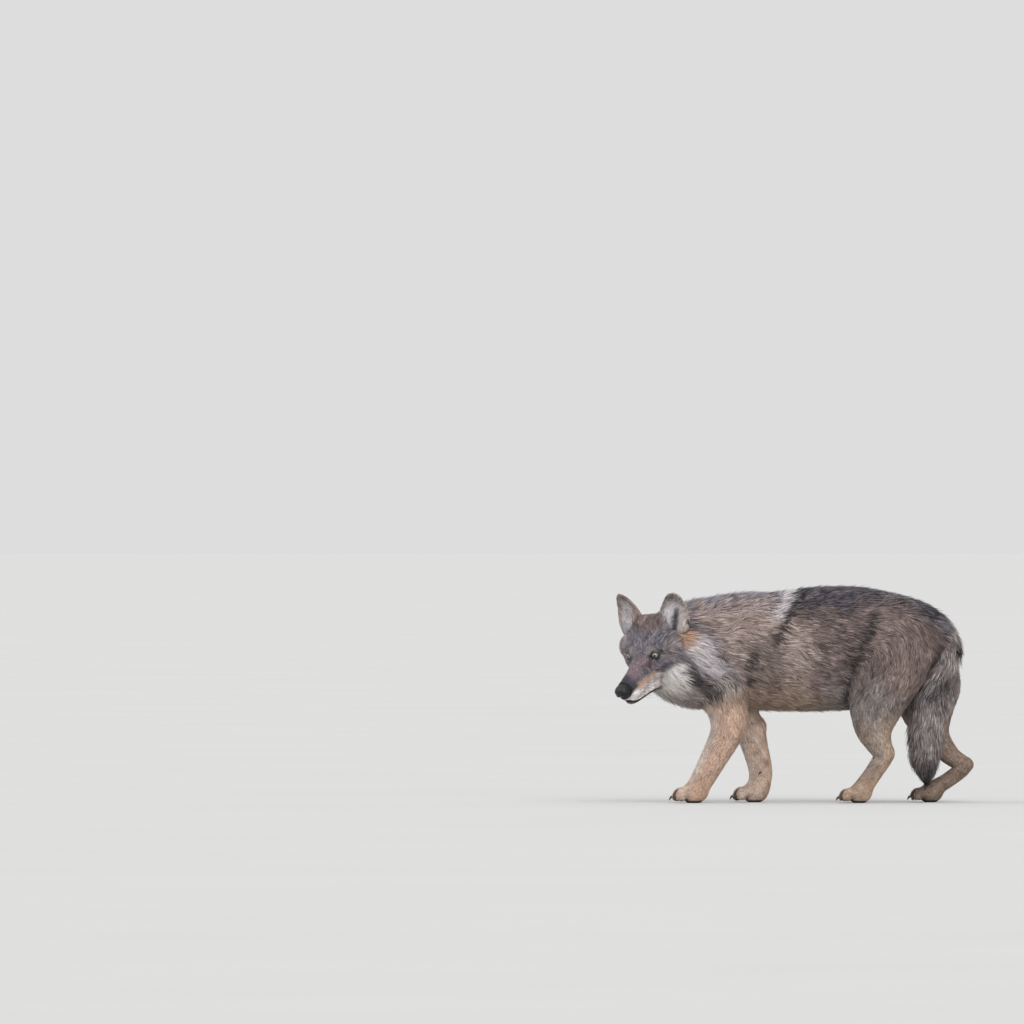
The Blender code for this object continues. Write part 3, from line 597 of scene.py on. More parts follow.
def read(rows, field, width, kind=np.float32):
    """One field of all the rows of a mesh's collection, as an array."""
    values = np.empty(len(rows) * width, kind)
    rows.foreach_get(field, values)
    return values.reshape(-1, width)


def read_points(data):
    return read(data.vertices, "co", 3).astype(float)


def read_normals(data):
    return read(data.vertex_normals, "vector", 3).astype(float)


def read_edges(data):
    return read(data.edges, "vertices", 2, np.int32)


def read_triangles(data):
    data.calc_loop_triangles()
    return read(data.loop_triangles, "vertices", 3, np.int32)


def write_points(data, points):
    data.vertices.foreach_set("co", points.astype(np.float32).ravel())
    data.update()


def shade_smooth(data):
    data.polygons.foreach_set("use_smooth", np.ones(len(data.polygons), bool))


def triangle_mesh(name, points, triangles):
    """A smooth mesh of triangles."""
    data = bpy.data.meshes.new(name)
    data.vertices.add(len(points))
    data.vertices.foreach_set("co", points.astype(np.float32).ravel())
    data.loops.add(triangles.size)
    data.loops.foreach_set("vertex_index", triangles.astype(np.int32).ravel())
    data.polygons.add(len(triangles))
    data.polygons.foreach_set("loop_start", np.arange(0, triangles.size, 3, dtype=np.int32))
    shade_smooth(data)
    data.update(calc_edges=True)
    return data


def set_colours(data, colours):
    layer = data.attributes.new("coat", "FLOAT_COLOR", "POINT")
    full = np.ones((len(colours), 4), np.float32)
    full[:, :3] = np.clip(colours, 0, 1)
    layer.data.foreach_set("color", full.ravel())


def set_values(data, values, name):
    layer = data.attributes.new(name, "FLOAT", "POINT")
    layer.data.foreach_set("value", values.astype(np.float32))


def tree_of(points):
    tree = KDTree(len(points))
    for i, point in enumerate(points):
        tree.insert(point, i)
    tree.balance()
    return tree


def nearest(tree, points):
    """For each of the points, the number of the tree's point nearest to it."""
    find = tree.find
    return np.array([find(point)[1] for point in points])


def relaxed(points, ends, share=0.5):
    """Moves each point towards the mean of its neighbours."""
    total, count = np.zeros_like(points), np.zeros(len(points))
    for a, b in (ends.T, ends.T[::-1]):
        for axis in range(3):
            total[:, axis] += np.bincount(a, points[b, axis], len(points))
        count += np.bincount(a, minlength=len(points))
    share = np.broadcast_to(np.asarray(share, float), len(points))
    return points + share[:, None] * (total / np.maximum(count, 1)[:, None] - points)


def draw_on(points, field, rounds=2, furthest=0.008):
    """Moves the points on to the surface where the field is nought."""
    step = 0.0005
    for _ in range(rounds):
        here = field(points)
        slope = np.stack([field(points + step * axis) - here for axis in np.eye(3)], 1) / step
        size = np.maximum((slope**2).sum(1, keepdims=True), 0.25)
        move = -here[:, None] * slope / size
        far = np.linalg.norm(move, axis=1, keepdims=True)
        points = points + move * np.minimum(1.0, furthest / np.maximum(far, 1e-9))
    return points


def wave(points, size, seed, count=9):
    """Smooth unevenness, about -1 to 1, of that size in metres."""
    draws = np.random.default_rng(seed)
    ways = unit(draws.normal(size=(count, 3))) * (2 * math.pi / size) * draws.uniform(0.6, 1.5, (count, 1))
    return np.sin(points @ ways.T + draws.uniform(0, 7, count)).sum(1) * math.sqrt(1.2 / count)


# ---------------------------------------------------------------- the skin

LID_ROUND = 0.0162  # radius of the lids over the eyeball
LID_GAP = (0.0136, 0.0088)  # half width and half height of the opening
LID_HEIGHTS = (1.05, 0.9)  # shares of that half height above and below the middle
LID_UNDER = 0.0030  # how far the lids reach over the skin round the opening
LID_TILT = math.radians(4)  # outer corner higher
SOCKET = 0.0012  # how deep under the eyeball's surface the skin's opening ends
EYE_ZONE = 0.035  # how far from an eye's middle the skin is shaped by it

LIP_LINE = (0.0011, 0.0035)  # half width and depth of the line between the lips
WHISKER_PAD = ((0.100, 0.0185, -0.058), (0.034, 0.0145, 0.017))
CHIN = ((0.116, 0.000, -0.084), (0.019, 0.013, 0.007))
NOSE_COLLAR = ((0.132, 0.0, -0.0345), (0.0200, 0.0250, 0.0225))
FACE_LUMPS = ((WHISKER_PAD, 0.010), (CHIN, 0.006), (NOSE_COLLAR, 0.008))  # and how widely each blends

HEAD_ZONE = ((-0.150, -0.150, -0.150), (0.20, 0.150, 0.175))
FACE_ZONE = ((-0.040, -0.075, -0.125), (0.20, 0.075, 0.040))  # where the skin's mesh is finest
FORM_ZONE = ((-0.06, -0.09, -0.14), (0.25, 0.09, 0.06))  # where the face's forms are laid on
FOOT_HEIGHT = 0.045
EAR_ZONE = ((-0.2, -0.2, 0.0), (0.0, 0.2, 0.2))
EAR_STARTS = (0.002, 0.006)  # how far outside the masses the skin becomes an ear


def within(points, zone):
    low, high = zone
    return ((points > low) & (points < high)).all(1)


def mirrored(points):
    """Places in the head's frame, with its right side laid on its left."""
    local = to_head(points)
    local[:, 1] = np.abs(local[:, 1])
    return local


def cut(field, hole, width):
    """The field of a solid with a hole taken out of it, rounded where they meet."""
    return -smooth_min(-field, hole, width)


def eye_centre(side):
    forward, out, up = EYE
    return in_head((forward, side * out, up))


def gap_distance(across, up, side, grow=0.0):
    """How far outside the almond opening between the lids a place is."""
    c, s = math.cos(LID_TILT), math.sin(LID_TILT)
    across, up = side * across * c + up * s, up * c - side * across * s
    wide, tall = LID_GAP[0] + grow, LID_GAP[1] + grow
    share = np.clip(1 - (across / wide) ** 2, 0, 1)
    height = tall * np.where(up > 0, *LID_HEIGHTS) * share**0.8
    return np.maximum(np.abs(up) - height, np.abs(across) - wide)


def eye_places(points, side, grow=0.0):
    """How far each point is outside an eye's opening, ahead of the eyeball's middle, and from that middle."""
    off = points - eye_centre(side)
    local = off @ gaze_axes(side)
    return gap_distance(local[:, 1], local[:, 2], side, grow), local[:, 0], np.linalg.norm(off, axis=1)


def line_distance(across, up, line):
    """Distance to a bent line in a plane."""
    best = np.full(len(across), 1.0)
    for (x0, y0), (x1, y1) in zip(line, line[1:]):
        run = np.array((x1 - x0, y1 - y0))
        off = np.stack((across - x0, up - y0), 1)
        t = np.clip(off @ run / (run @ run), 0, 1)
        best = np.minimum(best, np.linalg.norm(off - t[:, None] * run, axis=1))
    return best


def face_form(points, inner):
    """Adds the whisker pads, the chin, the lids and the line of the lips to the skin's field."""
    local = mirrored(points)
    for (centre, radii), blend in FACE_LUMPS:
        inner = smooth_min(inner, oval_distance((local - centre).T, radii), blend)
    lips = line_distance(local[:, 0], local[:, 2], LIPS) - LIP_LINE[0]
    inner = cut(inner, np.maximum(lips, -(inner + LIP_LINE[1])), 0.002)
    for side in (-1, 1):
        gap, ahead, radius = eye_places(points, side, LID_UNDER)
        near = radius < EYE_ZONE
        inner = smooth_min(inner, np.where(near, radius - LID_ROUND, 1.0), 0.007)
        opening = np.maximum(np.maximum(gap, -ahead), (EYE_RADIUS - SOCKET) - radius)
        inner = np.where(near, cut(inner, opening, 0.003), inner)
    return inner


def ear_rows(side):
    return [(forward, side * out, up, wide, deep) for forward, out, up, wide, deep in EAR]


def ear_ways(side):
    """An ear's directions: across its opening, out of it, and up to its tip."""
    across = HEAD_AXES @ np.array((-math.sin(EAR_TURN), side * math.cos(EAR_TURN), 0.0))
    ahead = HEAD_AXES @ np.array((math.cos(EAR_TURN), side * math.sin(EAR_TURN), 0.0))
    rows = ear_rows(side)
    return across, ahead, unit(in_head(rows[-1][:3]) - in_head(rows[0][:3]))


def ear_shell(side, mesh):
    """A cupped ear: a tapering crescent swept up from a solid root."""
    across, ahead, _ = ear_ways(side)
    rows = smooth_through(ear_rows(side), 4)
    turns = (np.arange(EAR_CORNERS) + 0.5) * math.pi / EAR_CORNERS
    rings = []
    for i, (forward, out, up, wide, deep) in enumerate(rows):
        opened = smooth_step(*EAR_HOLLOW, i / (len(rows) - 1))
        middle = in_head((forward, out, up))
        bow = np.sin(turns) * deep
        front = (1 - opened) * bow * EAR_BULGE - opened * bow * EAR_CUP + EAR_WALL / 2
        back = -bow - EAR_WALL / 2
        ring = [middle + math.cos(t) * wide * across + d * ahead for t, d in zip(turns, front)]
        ring += [middle + math.cos(t) * wide * across + d * ahead for t, d in zip(turns[::-1], back[::-1])]
        rings.append([mesh.verts.new(place) for place in ring])
    join_rings(mesh, rings)


def remeshed(obj, voxel):
    step = obj.modifiers.new("union", "REMESH")
    step.mode = "VOXEL"
    step.voxel_size = voxel
    baked(obj)


def joined_shells():
    """One rough skin, made of the shells of all the masses."""
    shells = bmesh.new()
    for mass in MASSES:
        mass.shape.add_shell(shells, mass.typical_depth())
    bmesh.ops.recalc_face_normals(shells, faces=shells.faces)
    skin = object_from("skin", shells)
    remeshed(skin, VOXELS[0])
    points, ends = read_points(skin.data), read_edges(skin.data)
    for _ in range(2):
        depth = coat_fields(points)[1][1]
        points = draw_on(relaxed(points, ends), lambda p: body_distance(p) + depth)
    write_points(skin.data, points)
    return skin


def add_ears(skin):
    """Joins both ears to the skin; also a tree of their own surface."""
    ears = bmesh.new()
    for side in (-1, 1):
        ear_shell(side, ears)
    bmesh.ops.recalc_face_normals(ears, faces=ears.faces)
    tree = BVHTree.FromBMesh(ears)
    spare = bpy.data.meshes.new("ears")
    ears.to_mesh(spare)
    ears.free()
    joined = bmesh.new()
    joined.from_mesh(skin.data)
    joined.from_mesh(spare)
    joined.to_mesh(skin.data)
    joined.free()
    remeshed(skin, VOXELS[1])
    return tree


def thin_body(skin):
    """Thins the skin's trunk and limbs, and keeps the head and the feet fine."""
    points = read_points(skin.data)
    fine = within(to_head(points), HEAD_ZONE) | (points[:, 2] < FOOT_HEIGHT)
    group = skin.vertex_groups.new(name="body")
    group.add(np.flatnonzero(~fine).tolist(), 1.0, "REPLACE")
    corners = read_triangles(skin.data)
    kept = int(fine[corners].all(1).sum())
    thin = skin.modifiers.new("thin", "DECIMATE")
    thin.vertex_group = "body"
    thin.vertex_group_factor = THINNING
    thin.ratio = (kept + BODY_TRIANGLES) / len(corners)
    baked(skin)
    skin.vertex_groups.clear()


def fit_skin(skin, ear_tree):
    """Draws the skin on to the masses and the ears; its points, and how far each belongs to an ear."""
    points, ends = read_points(skin.data), read_edges(skin.data)
    depth = coat_fields(points)[1][1]
    outside = body_distance(points) + depth
    ear = smooth_step(*EAR_STARTS, outside) * within(to_head(points), HEAD_ZONE)
    moved = draw_on(points, lambda p: body_distance(p) + depth)
    points = moved + ear[:, None] * (points - moved)
    for _ in range(3):
        points = relaxed(points, ends, 0.2 + 0.4 * ear)
    for i in np.flatnonzero(ear > 0.5):
        points[i] = ear_tree.find_nearest(points[i])[0]
    points = relaxed(points, ends, 0.35 * ear)
    write_points(skin.data, points)
    return points, ear


def halve_face_edges(skin, points, ear):
    """Makes the mesh of the face twice as fine, apart from the ears."""
    fine = bmesh.new()
    fine.from_mesh(skin.data)
    fine.verts.ensure_lookup_table()
    chosen = within(to_head(points), FACE_ZONE) & (ear < 0.01)
    edges = [edge for edge in fine.edges if chosen[edge.verts[0].index] and chosen[edge.verts[1].index]]
    bmesh.ops.subdivide_edges(fine, edges=edges, cuts=1, use_grid_fill=True)
    bmesh.ops.triangulate(fine, faces=fine.faces)
    fine.to_mesh(skin.data)
    fine.free()


def form_face(skin):
    """Lays the face's finer forms on the skin."""
    points, ends = read_points(skin.data), read_edges(skin.data)
    face = np.flatnonzero(within(to_head(points), FORM_ZONE))
    depth = coat_fields(points[face])[1][1]
    here = points[face]
    ear = smooth_step(*EAR_STARTS, body_distance(here, HEAD_MASSES) + depth)[:, None]
    for _ in range(2):
        moved = draw_on(here, lambda p: face_form(p, body_distance(p, HEAD_MASSES) + depth))
        here = here + (1 - ear) * (moved - here)
        points[face] = here
        points[face] = relaxed(points, ends, 0.15)[face]
        here = points[face]
    write_points(skin.data, points)


def make_skin():
    """One closed skin over the whole animal, its coat's depth inside the masses."""
    skin = joined_shells()
    ear_tree = add_ears(skin)
    thin_body(skin)
    points, ear = fit_skin(skin, ear_tree)
    halve_face_edges(skin, points, ear)
    form_face(skin)
    shade_smooth(skin.data)
    return skin


# ---------------------------------------------------------------- markings

TAN = (0.315, 0.220, 0.162)
SADDLE = (0.090, 0.077, 0.095)
TAIL_GREY = (0.320, 0.268, 0.258)
DARK = (0.040, 0.034, 0.033)
RUFF_GREY = (0.660, 0.590, 0.620)
BLACK = (0.014, 0.013, 0.013)
SILVER = (0.700, 0.670, 0.680)  # the palest that a hair's tip becomes

# Each kind of fur, or painted shade or light laid over it: its colour, and the shares of its hairs with dark
# and with silver tips.
FUR = {
    "under all": ((0.160, 0.118, 0.108), 0.38, 0.14),
    "black skin": (BLACK, 0.3, 0.0),
    "sole": ((0.030, 0.026, 0.025), 0.2, 0.0),
    # trunk and neck
    "saddle": (SADDLE, 0.45, 0.16),
    # spine: silver tips on the top line, partly the coat's grizzle, partly painted rim light
    "spine": (SADDLE, 0.40, 0.50),
    "belly": ((0.240, 0.205, 0.190), 0.16, 0.10),
    "neck": ((0.350, 0.265, 0.238), 0.24, 0.22),
    "nape": ((0.168, 0.150, 0.172), 0.30, 0.62),
    "shoulder": ((0.190, 0.146, 0.130), 0.30, 0.12),
    "breast": (TAN, 0.10, 0.06),
    "elbow": (TAN, 0.14, 0.08),
    "haunch": ((0.215, 0.159, 0.142), 0.24, 0.16),
    "stifle": ((0.165, 0.130, 0.118), 0.22, 0.18),
    "rump": (SADDLE, 0.65, 0.10),
    "pale crescent": (RUFF_GREY, 0.10, 0.70),
    # dark crescent: partly the coat's own marking, partly painted shade behind the pale crescent
    "dark crescent": (DARK, 0.75, 0.05),
    # painted shade in the creases behind the shoulder and in front of the thigh
    "shoulder crease painted shade": (DARK, 0.7, 0.0),
    "flank crease painted shade": (DARK, 0.65, 0.02),
    "haunch line": (DARK, 0.6, 0.02),
    # legs
    "foreleg": ((0.575, 0.390, 0.298), 0.04, 0.05),
    # painted highlight: a pale rim of light along the front edge of the forelegs
    "foreleg front painted rim light": ((0.70, 0.59, 0.53), 0.02, 0.1),
    "forefoot": ((0.50, 0.31, 0.20), 0.05, 0.02),
    "far thigh": (TAIL_GREY, 0.4, 0.25),
    "hind leg": ((0.350, 0.270, 0.225), 0.12, 0.10),
    "hind leg back": ((0.46, 0.32, 0.22), 0.05, 0.05),
    "hind foot": ((0.46, 0.31, 0.21), 0.06, 0.03),
    # painted shade: the far hind leg, darker because it stands in shade
    "far hind leg painted shade": ((0.190, 0.130, 0.098), 0.12, 0.04),
    "leg inside": ((0.52, 0.425, 0.355), 0.02, 0.10),
    # painted shade in the gaps between the toes
    "painted shade between toes": ((0.060, 0.042, 0.034), 0.3, 0.0),
    # tail
    "tail": (TAIL_GREY, 0.34, 0.26),
    "tail band": ((0.175, 0.152, 0.150), 0.42, 0.22),
    "tail rear": (SADDLE, 0.6, 0.2),
    "tail patches": (SADDLE, 0.5, 0.2),
    "tail gland": (BLACK, 1.0, 0.0),
    "tail tip": (DARK, 0.7, 0.05),
    # head
    "face": ((0.138, 0.123, 0.147), 0.34, 0.30),
    "crown": ((0.185, 0.129, 0.113), 0.34, 0.12),
    "side of head": ((0.225, 0.195, 0.203), 0.30, 0.36),
    # cheekbone and temple: laid as painted light, lightening the side of the head where light falls steeply
    "cheekbone": ((0.240, 0.200, 0.200), 0.20, 0.28),
    "temple": ((0.250, 0.212, 0.218), 0.22, 0.32),
    "bridge": ((0.190, 0.138, 0.152), 0.20, 0.12),
    "nose ridge": ((0.050, 0.046, 0.062), 0.3, 0.05),
    "muzzle side": ((0.20, 0.125, 0.100), 0.2, 0.05),
    "upper lip": ((0.830, 0.745, 0.725), 0.02, 0.10),
    "muzzle stripe": ((0.430, 0.275, 0.190), 0.05, 0.10),
    "cheek front": ((0.700, 0.640, 0.590), 0.05, 0.15),
    "jaw": ((0.620, 0.570, 0.520), 0.10, 0.20),
    "chin": ((0.110, 0.103, 0.108), 0.3, 0.25),
    "under eye": ((0.265, 0.208, 0.228), 0.2, 0.05),
    "brow": ((0.240, 0.190, 0.165), 0.10, 0.2),
    "ruff": (RUFF_GREY, 0.14, 0.40),
    "ear base": ((0.430, 0.245, 0.155), 0.05, 0.05),
    "ear patch": ((0.640, 0.570, 0.520), 0.03, 0.2),
    "cheek": ((0.880, 0.835, 0.815), 0.0, 0.1),
    "low cheek": ((0.780, 0.735, 0.690), 0.03, 0.1),
    "cheek edge": ((0.110, 0.095, 0.098), 0.4, 0.15),
    "throat": ((0.330, 0.280, 0.255), 0.34, 0.22),
    # painted shade under the pale ruff
    "ruff painted shade band": ((0.040, 0.034, 0.032), 0.50, 0.14),
    "eye rim": (BLACK, 0.5, 0.0),
    "tear": ((0.060, 0.042, 0.040), 0.3, 0.0),
    "eye corner": ((0.035, 0.030, 0.030), 0.5, 0.0),
    "mouth corner": ((0.10, 0.085, 0.085), 0.3, 0.1),
    # ears
    "ear": ((0.165, 0.112, 0.098), 0.22, 0.12),
    "ear edge": ((0.340, 0.205, 0.140), 0.1, 0.05),
    "ear tip": ((0.150, 0.118, 0.112), 0.35, 0.1),
    "ear inside": ((0.530, 0.495, 0.510), 0.08, 0.30),
    "ear rim": ((0.300, 0.245, 0.225), 0.2, 0.1),
    "ear root inside": ((0.330, 0.205, 0.150), 0.15, 0.1),
    "ear tip inside": ((0.260, 0.210, 0.195), 0.25, 0.1),
    # ear slit: painted shade deep in the ear's hollow
    "ear slit": ((0.030, 0.022, 0.022), 0.4, 0.0),
    "ear fold": ((0.300, 0.235, 0.210), 0.2, 0.2),
    "ear pocket": ((0.520, 0.440, 0.380), 0.0, 0.1),
}

TOP_LINE = ((-0.372, -0.335, -0.275, -0.2, -0.11, -0.05, 0.07, 0.17, 0.25, 0.33, 0.40, 0.442, 0.50),
            (0.588, 0.616, 0.632, 0.638, 0.645, 0.650, 0.669, 0.673, 0.669, 0.649, 0.616, 0.580, 0.520))
TAIL_LINE = ((0.10, 0.2, 0.3, 0.4, 0.5), (0.42, 0.42, 0.43, 0.474, 0.49))  # its middle, along x, by height

# Lines on the animal's sides, along x and up.
PALE_CRESCENT = ((0.010, 0.660), (-0.019, 0.617), (-0.043, 0.573))
# The dark crescent is partly the coat's marking, partly painted shade.
DARK_CRESCENT = ((0.038, 0.660), (0.008, 0.605), (-0.022, 0.555), (-0.053, 0.490))
# The next two are painted shade, in the creases behind the shoulder and in front of the thigh.
SHOULDER_CREASE_SHADE = ((-0.124, 0.459), (-0.136, 0.418), (-0.143, 0.381))
FLANK_CREASE_SHADE = ((0.250, 0.575), (0.240, 0.545), (0.217, 0.496), (0.186, 0.422), (0.174, 0.332))
HAUNCH_LINE = ((0.452, 0.490), (0.4475, 0.450), (0.446, 0.415))

# Lines on the head, in its own frame: forward, out and up.
# The first line is painted shade under the ruff.
RUFF_SHADE_BAND = ((-0.042, 0.112, -0.088), (-0.049, 0.118, -0.121), (-0.066, 0.125, -0.153),
             (-0.078, 0.138, -0.176), (-0.084, 0.160, -0.191))
RUFF_CREST = ((-0.107, 0.143, -0.029), (-0.077, 0.129, -0.033), (-0.093, 0.146, -0.072),
              (-0.108, 0.158, -0.114))
CHEEK_EDGE = ((-0.055, 0.112, -0.020), (-0.054, 0.114, -0.055), (-0.042, 0.112, -0.088))
MUZZLE_STRIPE = ((0.030, 0.040, -0.050), (0.098, 0.030, -0.044))
TEAR = ((0.013, 0.036, -0.004), (0.030, 0.033, -0.020))
EYE_CORNER = ((-0.013, 0.060, 0.008), (-0.017, 0.063, 0.007))

# Spots on the head: fur, middle, radii, strength and softness.
# Painted light: lighter spots on the cheekbone and the temple, lifting the shade on the side of the head.
TEMPLE_PAINTED_LIGHT = (
    ("cheekbone", (-0.028, 0.082, -0.002), (0.032, 0.026, 0.024), 0.7, 0.45),
    ("temple", (-0.046, 0.098, 0.008), (0.034, 0.032, 0.034), 0.75, 0.45),
)
EYE_SPOTS = (
    ("under eye", (0.016, 0.056, -0.028), (0.020, 0.018, 0.011), 0.85, 0.45),
    ("brow", (0.000, 0.037, 0.022), (0.014, 0.014, 0.010), 0.5, 0.45),
)
CHEEK_SPOTS = (
    ("ear base", (-0.085, 0.116, 0.010), (0.028, 0.026, 0.026), 1.0, 0.45),
    ("ear patch", (-0.079, 0.124, -0.021), (0.018, 0.022, 0.013), 0.9, 0.45),
    ("cheek", (-0.026, 0.086, -0.068), (0.034, 0.034, 0.030), 1.0, 0.3),
    ("low cheek", (-0.008, 0.055, -0.098), (0.050, 0.036, 0.034), 1.0, 0.45),
)
MOUTH_SPOTS = (("mouth corner", (0.012, 0.034, -0.104), (0.014, 0.020, 0.009), 0.7, 0.45),)
EAR_POCKET_SPOTS = (
    ("ear pocket", (-0.106, 0.124, 0.050), (0.020, 0.010, 0.017), 0.8, 0.45),
    ("black skin", (-0.106, 0.126, 0.052), (0.014, 0.004, 0.010), 0.9, 0.45),
)
TOE_GAP = 0.0212  # from a foot's middle to the gap beside its outer toes


class Paint:
    """Colour of the hairs at each point, and the shares of them with dark and with silver tips."""

    def __init__(self, count, fur):
        colour, dark, silver = FUR[fur]
        self.colour = np.tile(np.asarray(colour, float), (count, 1))
        self.dark = np.full(count, dark)
        self.silver = np.full(count, silver)

    def lay(self, fur, weight):
        colour, dark, silver = FUR[fur]
        weight = np.clip(weight, 0, 1)
        self.colour += weight[:, None] * (np.asarray(colour) - self.colour)
        self.dark += weight * (dark - self.dark)
        self.silver += weight * (silver - self.silver)

    def lay_spots(self, spots, places, share=1.0):
        for fur, centre, radii, strength, soft in spots:
            self.lay(fur, share * spot(places, centre, radii, soft) * strength)


def spot(places, centre, radii, soft=0.45):
    """1 inside an oval, fading to 0 outside it."""
    off = (places - np.asarray(centre)) / np.asarray(radii)
    return smooth_step(1 + soft, 1 - soft, np.linalg.norm(off, axis=1))


def stroke(across, up, line, width, soft=0.6):
    return smooth_step(width * (1 + soft), width * (1 - soft), line_distance(across, up, line))


def stretch_distance(places, a, b):
    """Distance from the stretch between two places."""
    a, run = np.asarray(a), np.asarray(b) - np.asarray(a)
    t = np.clip((places - a) @ run / (run @ run), 0, 1)
    return np.linalg.norm(places - a - t[:, None] * run, axis=1)


def chain_distance(places, chain):
    return np.minimum.reduce([stretch_distance(places, a, b) for a, b in zip(chain, chain[1:])])


def body_markings(points, paint):
    x, y, z = points.T
    down = np.interp(x, *TOP_LINE) - z
    patchy = wave(points, 0.060, 3)
    rear = smooth_step(-0.06, 0.02, x - 0.02 * patchy - 0.10 * smooth_step(0.06, 0.16, down))
    front = 1 - rear
    saddle = rear * (1 - 0.75 * smooth_step(0.24, 0.34, x))
    paint.lay("saddle", smooth_step(0.120, 0.035, down - 0.022 * patchy) * saddle)
    # silver along the top line: partly grizzle, partly painted rim light
    paint.lay("spine", smooth_step(0.042, 0.005, down) * rear)
    paint.lay("belly", smooth_step(0.25, 0.33, down + 0.03 * patchy) * rear)
    paint.lay("neck", front)
    paint.lay("nape", front * smooth_step(0.062, 0.012, down - 0.014 * patchy))
    shoulder = smooth_step(-0.175, -0.120, x + 0.25 * (z - 0.45)) * smooth_step(0.0, -0.05, x)
    paint.lay("shoulder", shoulder * smooth_step(0.10, 0.17, down) * 0.85)
    paint.lay("breast", front * smooth_step(0.365, 0.300, z))
    paint.lay("elbow", front * smooth_step(0.42, 0.34, z) * smooth_step(-0.235, -0.20, x) * 0.6)
    haunch = smooth_step(0.215, 0.285, x + 0.42 * (z - 0.50)) * smooth_step(0.035, 0.085, down)
    paint.lay("haunch", haunch)
    paint.lay("stifle", haunch * smooth_step(0.36, 0.30, z))
    paint.lay("rump", spot(points[:, (0, 2)], (0.425, 0.585), (0.035, 0.022)))

    ragged = x + 0.006 * wave(points, 0.018, 11)
    # near: the painted shade in the creases is laid stronger on the near side
    near = 0.40 + 0.60 * smooth_step(0.04, -0.04, y)
    paint.lay("pale crescent", stroke(ragged, z, PALE_CRESCENT, 0.0150, 0.8) * 0.9)
    high = smooth_step(0.46, 0.54, z)
    # dark crescent: partly marking, partly painted shade behind the pale crescent
    paint.lay("dark crescent", stroke(ragged, z, DARK_CRESCENT, 0.0125, 0.9) * high * 0.85)
    # painted shade in the creases behind the shoulder and in front of the thigh
    paint.lay("shoulder crease painted shade", stroke(ragged, z, SHOULDER_CREASE_SHADE, 0.0120, 0.9) * 0.80 * near)
    paint.lay("flank crease painted shade", stroke(ragged, z, FLANK_CREASE_SHADE, 0.0135, 0.8) * 0.85 * near)
    paint.lay("haunch line", stroke(x, z, HAUNCH_LINE, 0.0090) * 0.7)


def foreleg_markings(paint, weight, ahead, z):
    low = weight * smooth_step(0.33, 0.27, z)
    paint.lay("foreleg", low)
    # painted rim light along the front edge of the forelegs
    paint.lay("foreleg front painted rim light", low * smooth_step(0.25, 0.85, ahead) * 0.8)
    paint.lay("forefoot", low * smooth_step(0.10, 0.04, z) * 0.5)


def hind_leg_markings(paint, weight, ahead, z, far):
    behind = weight * far * smooth_step(0.10, 0.7, -ahead) * smooth_step(0.24, 0.30, z)
    paint.lay("far thigh", behind * 0.8)
    low = weight * smooth_step(0.30, 0.20, z)
    paint.lay("hind leg", low)
    paint.lay("hind leg back", low * smooth_step(0.0, 0.8, -ahead) * 0.8)
    paint.lay("hind foot", low * smooth_step(0.12, 0.05, z) * 0.6)
    # painted shade on the lower far hind leg
    paint.lay("far hind leg painted shade", low * far * 0.80)


def leg_markings(points, paint, region):
    x, y, z = points.T
    for leg, (stations, side, size) in LEGS.items():
        weight = (region == REGIONS.index(leg)).astype(float)
        middles, heights, _, halves = np.transpose(stations)[:, ::-1]
        ahead = (np.interp(z, heights, middles) - x) / np.interp(z, heights, halves)
        if leg.startswith("fore"):
            foreleg_markings(paint, weight, ahead, z)
            pale = 0.60
        else:
            hind_leg_markings(paint, weight, ahead, z, leg == "hind_right")
            pale = 0.20
        inner = smooth_step(0.2, 0.9, (np.interp(z, *LEG_OUT) - side * y) / 0.04)
        paint.lay("leg inside", weight * inner * smooth_step(0.42, 0.30, z) * pale)
        # Painted shade in the gaps between the toes.
        off = np.abs((y - side * LEG_OUT[1][0]) / size)
        between = np.minimum(off, np.abs(off - TOE_GAP))
        toes = smooth_step(-0.012, -0.018, (x - foot_x(stations)) / size)
        toes = toes * smooth_step(0.046, 0.038, z / size)
        paint.lay("painted shade between toes", weight * toes * smooth_step(0.0048, 0.0022, between) * 0.9)


def tail_markings(points, paint, region):
    x, _, z = points.T
    here = (region == REGIONS.index("tail")).astype(float)
    patchy = wave(points, 0.045, 8)
    paint.lay("tail", here)
    paint.lay("tail band", here * smooth_step(0.07, 0.02, np.abs(z - 0.345)) * 0.9)
    paint.lay("tail rear", here * smooth_step(0.030, 0.055, x - np.interp(z, *TAIL_LINE)) * 0.5)
    paint.lay("tail patches", here * smooth_step(0.0, 0.6, patchy) * 0.35)
    paint.lay("tail gland", here * spot(points[:, (0, 2)], (0.519, 0.472), (0.012, 0.011)))
    paint.lay("tail tip", here * smooth_step(0.175, 0.110, z + 0.015 * patchy) * 0.8)


def skull_markings(face, paint, head):
    """The crown, the temples and the bridge of the nose."""
    forward, out, up = face.T
    paint.lay("face", head)
    paint.lay("crown", head * spot(face, (-0.090, 0.0, 0.080), (0.045, 0.060, 0.050)) * 0.85)
    paint.lay("side of head", head * smooth_step(-0.04, -0.07, forward) * smooth_step(0.090, 0.110, out))
    # painted light on the cheekbone and the temple
    paint.lay_spots(TEMPLE_PAINTED_LIGHT, face)
    bridge = smooth_step(0.030, 0.020, out) * smooth_step(0.005, 0.030, forward)
    paint.lay("bridge", bridge * smooth_step(-0.050, -0.030, up))
    paint.lay("nose ridge", smooth_step(0.085, 0.125, forward) * smooth_step(-0.055, -0.035, up))
    side = smooth_step(0.018, 0.028, out) * smooth_step(0.012, 0.035, forward)
    side = side * smooth_step(0.125, 0.105, forward)
    paint.lay("muzzle side", side * smooth_step(-0.040, -0.020, up) * smooth_step(0.07, 0.02, forward) * 0.7)


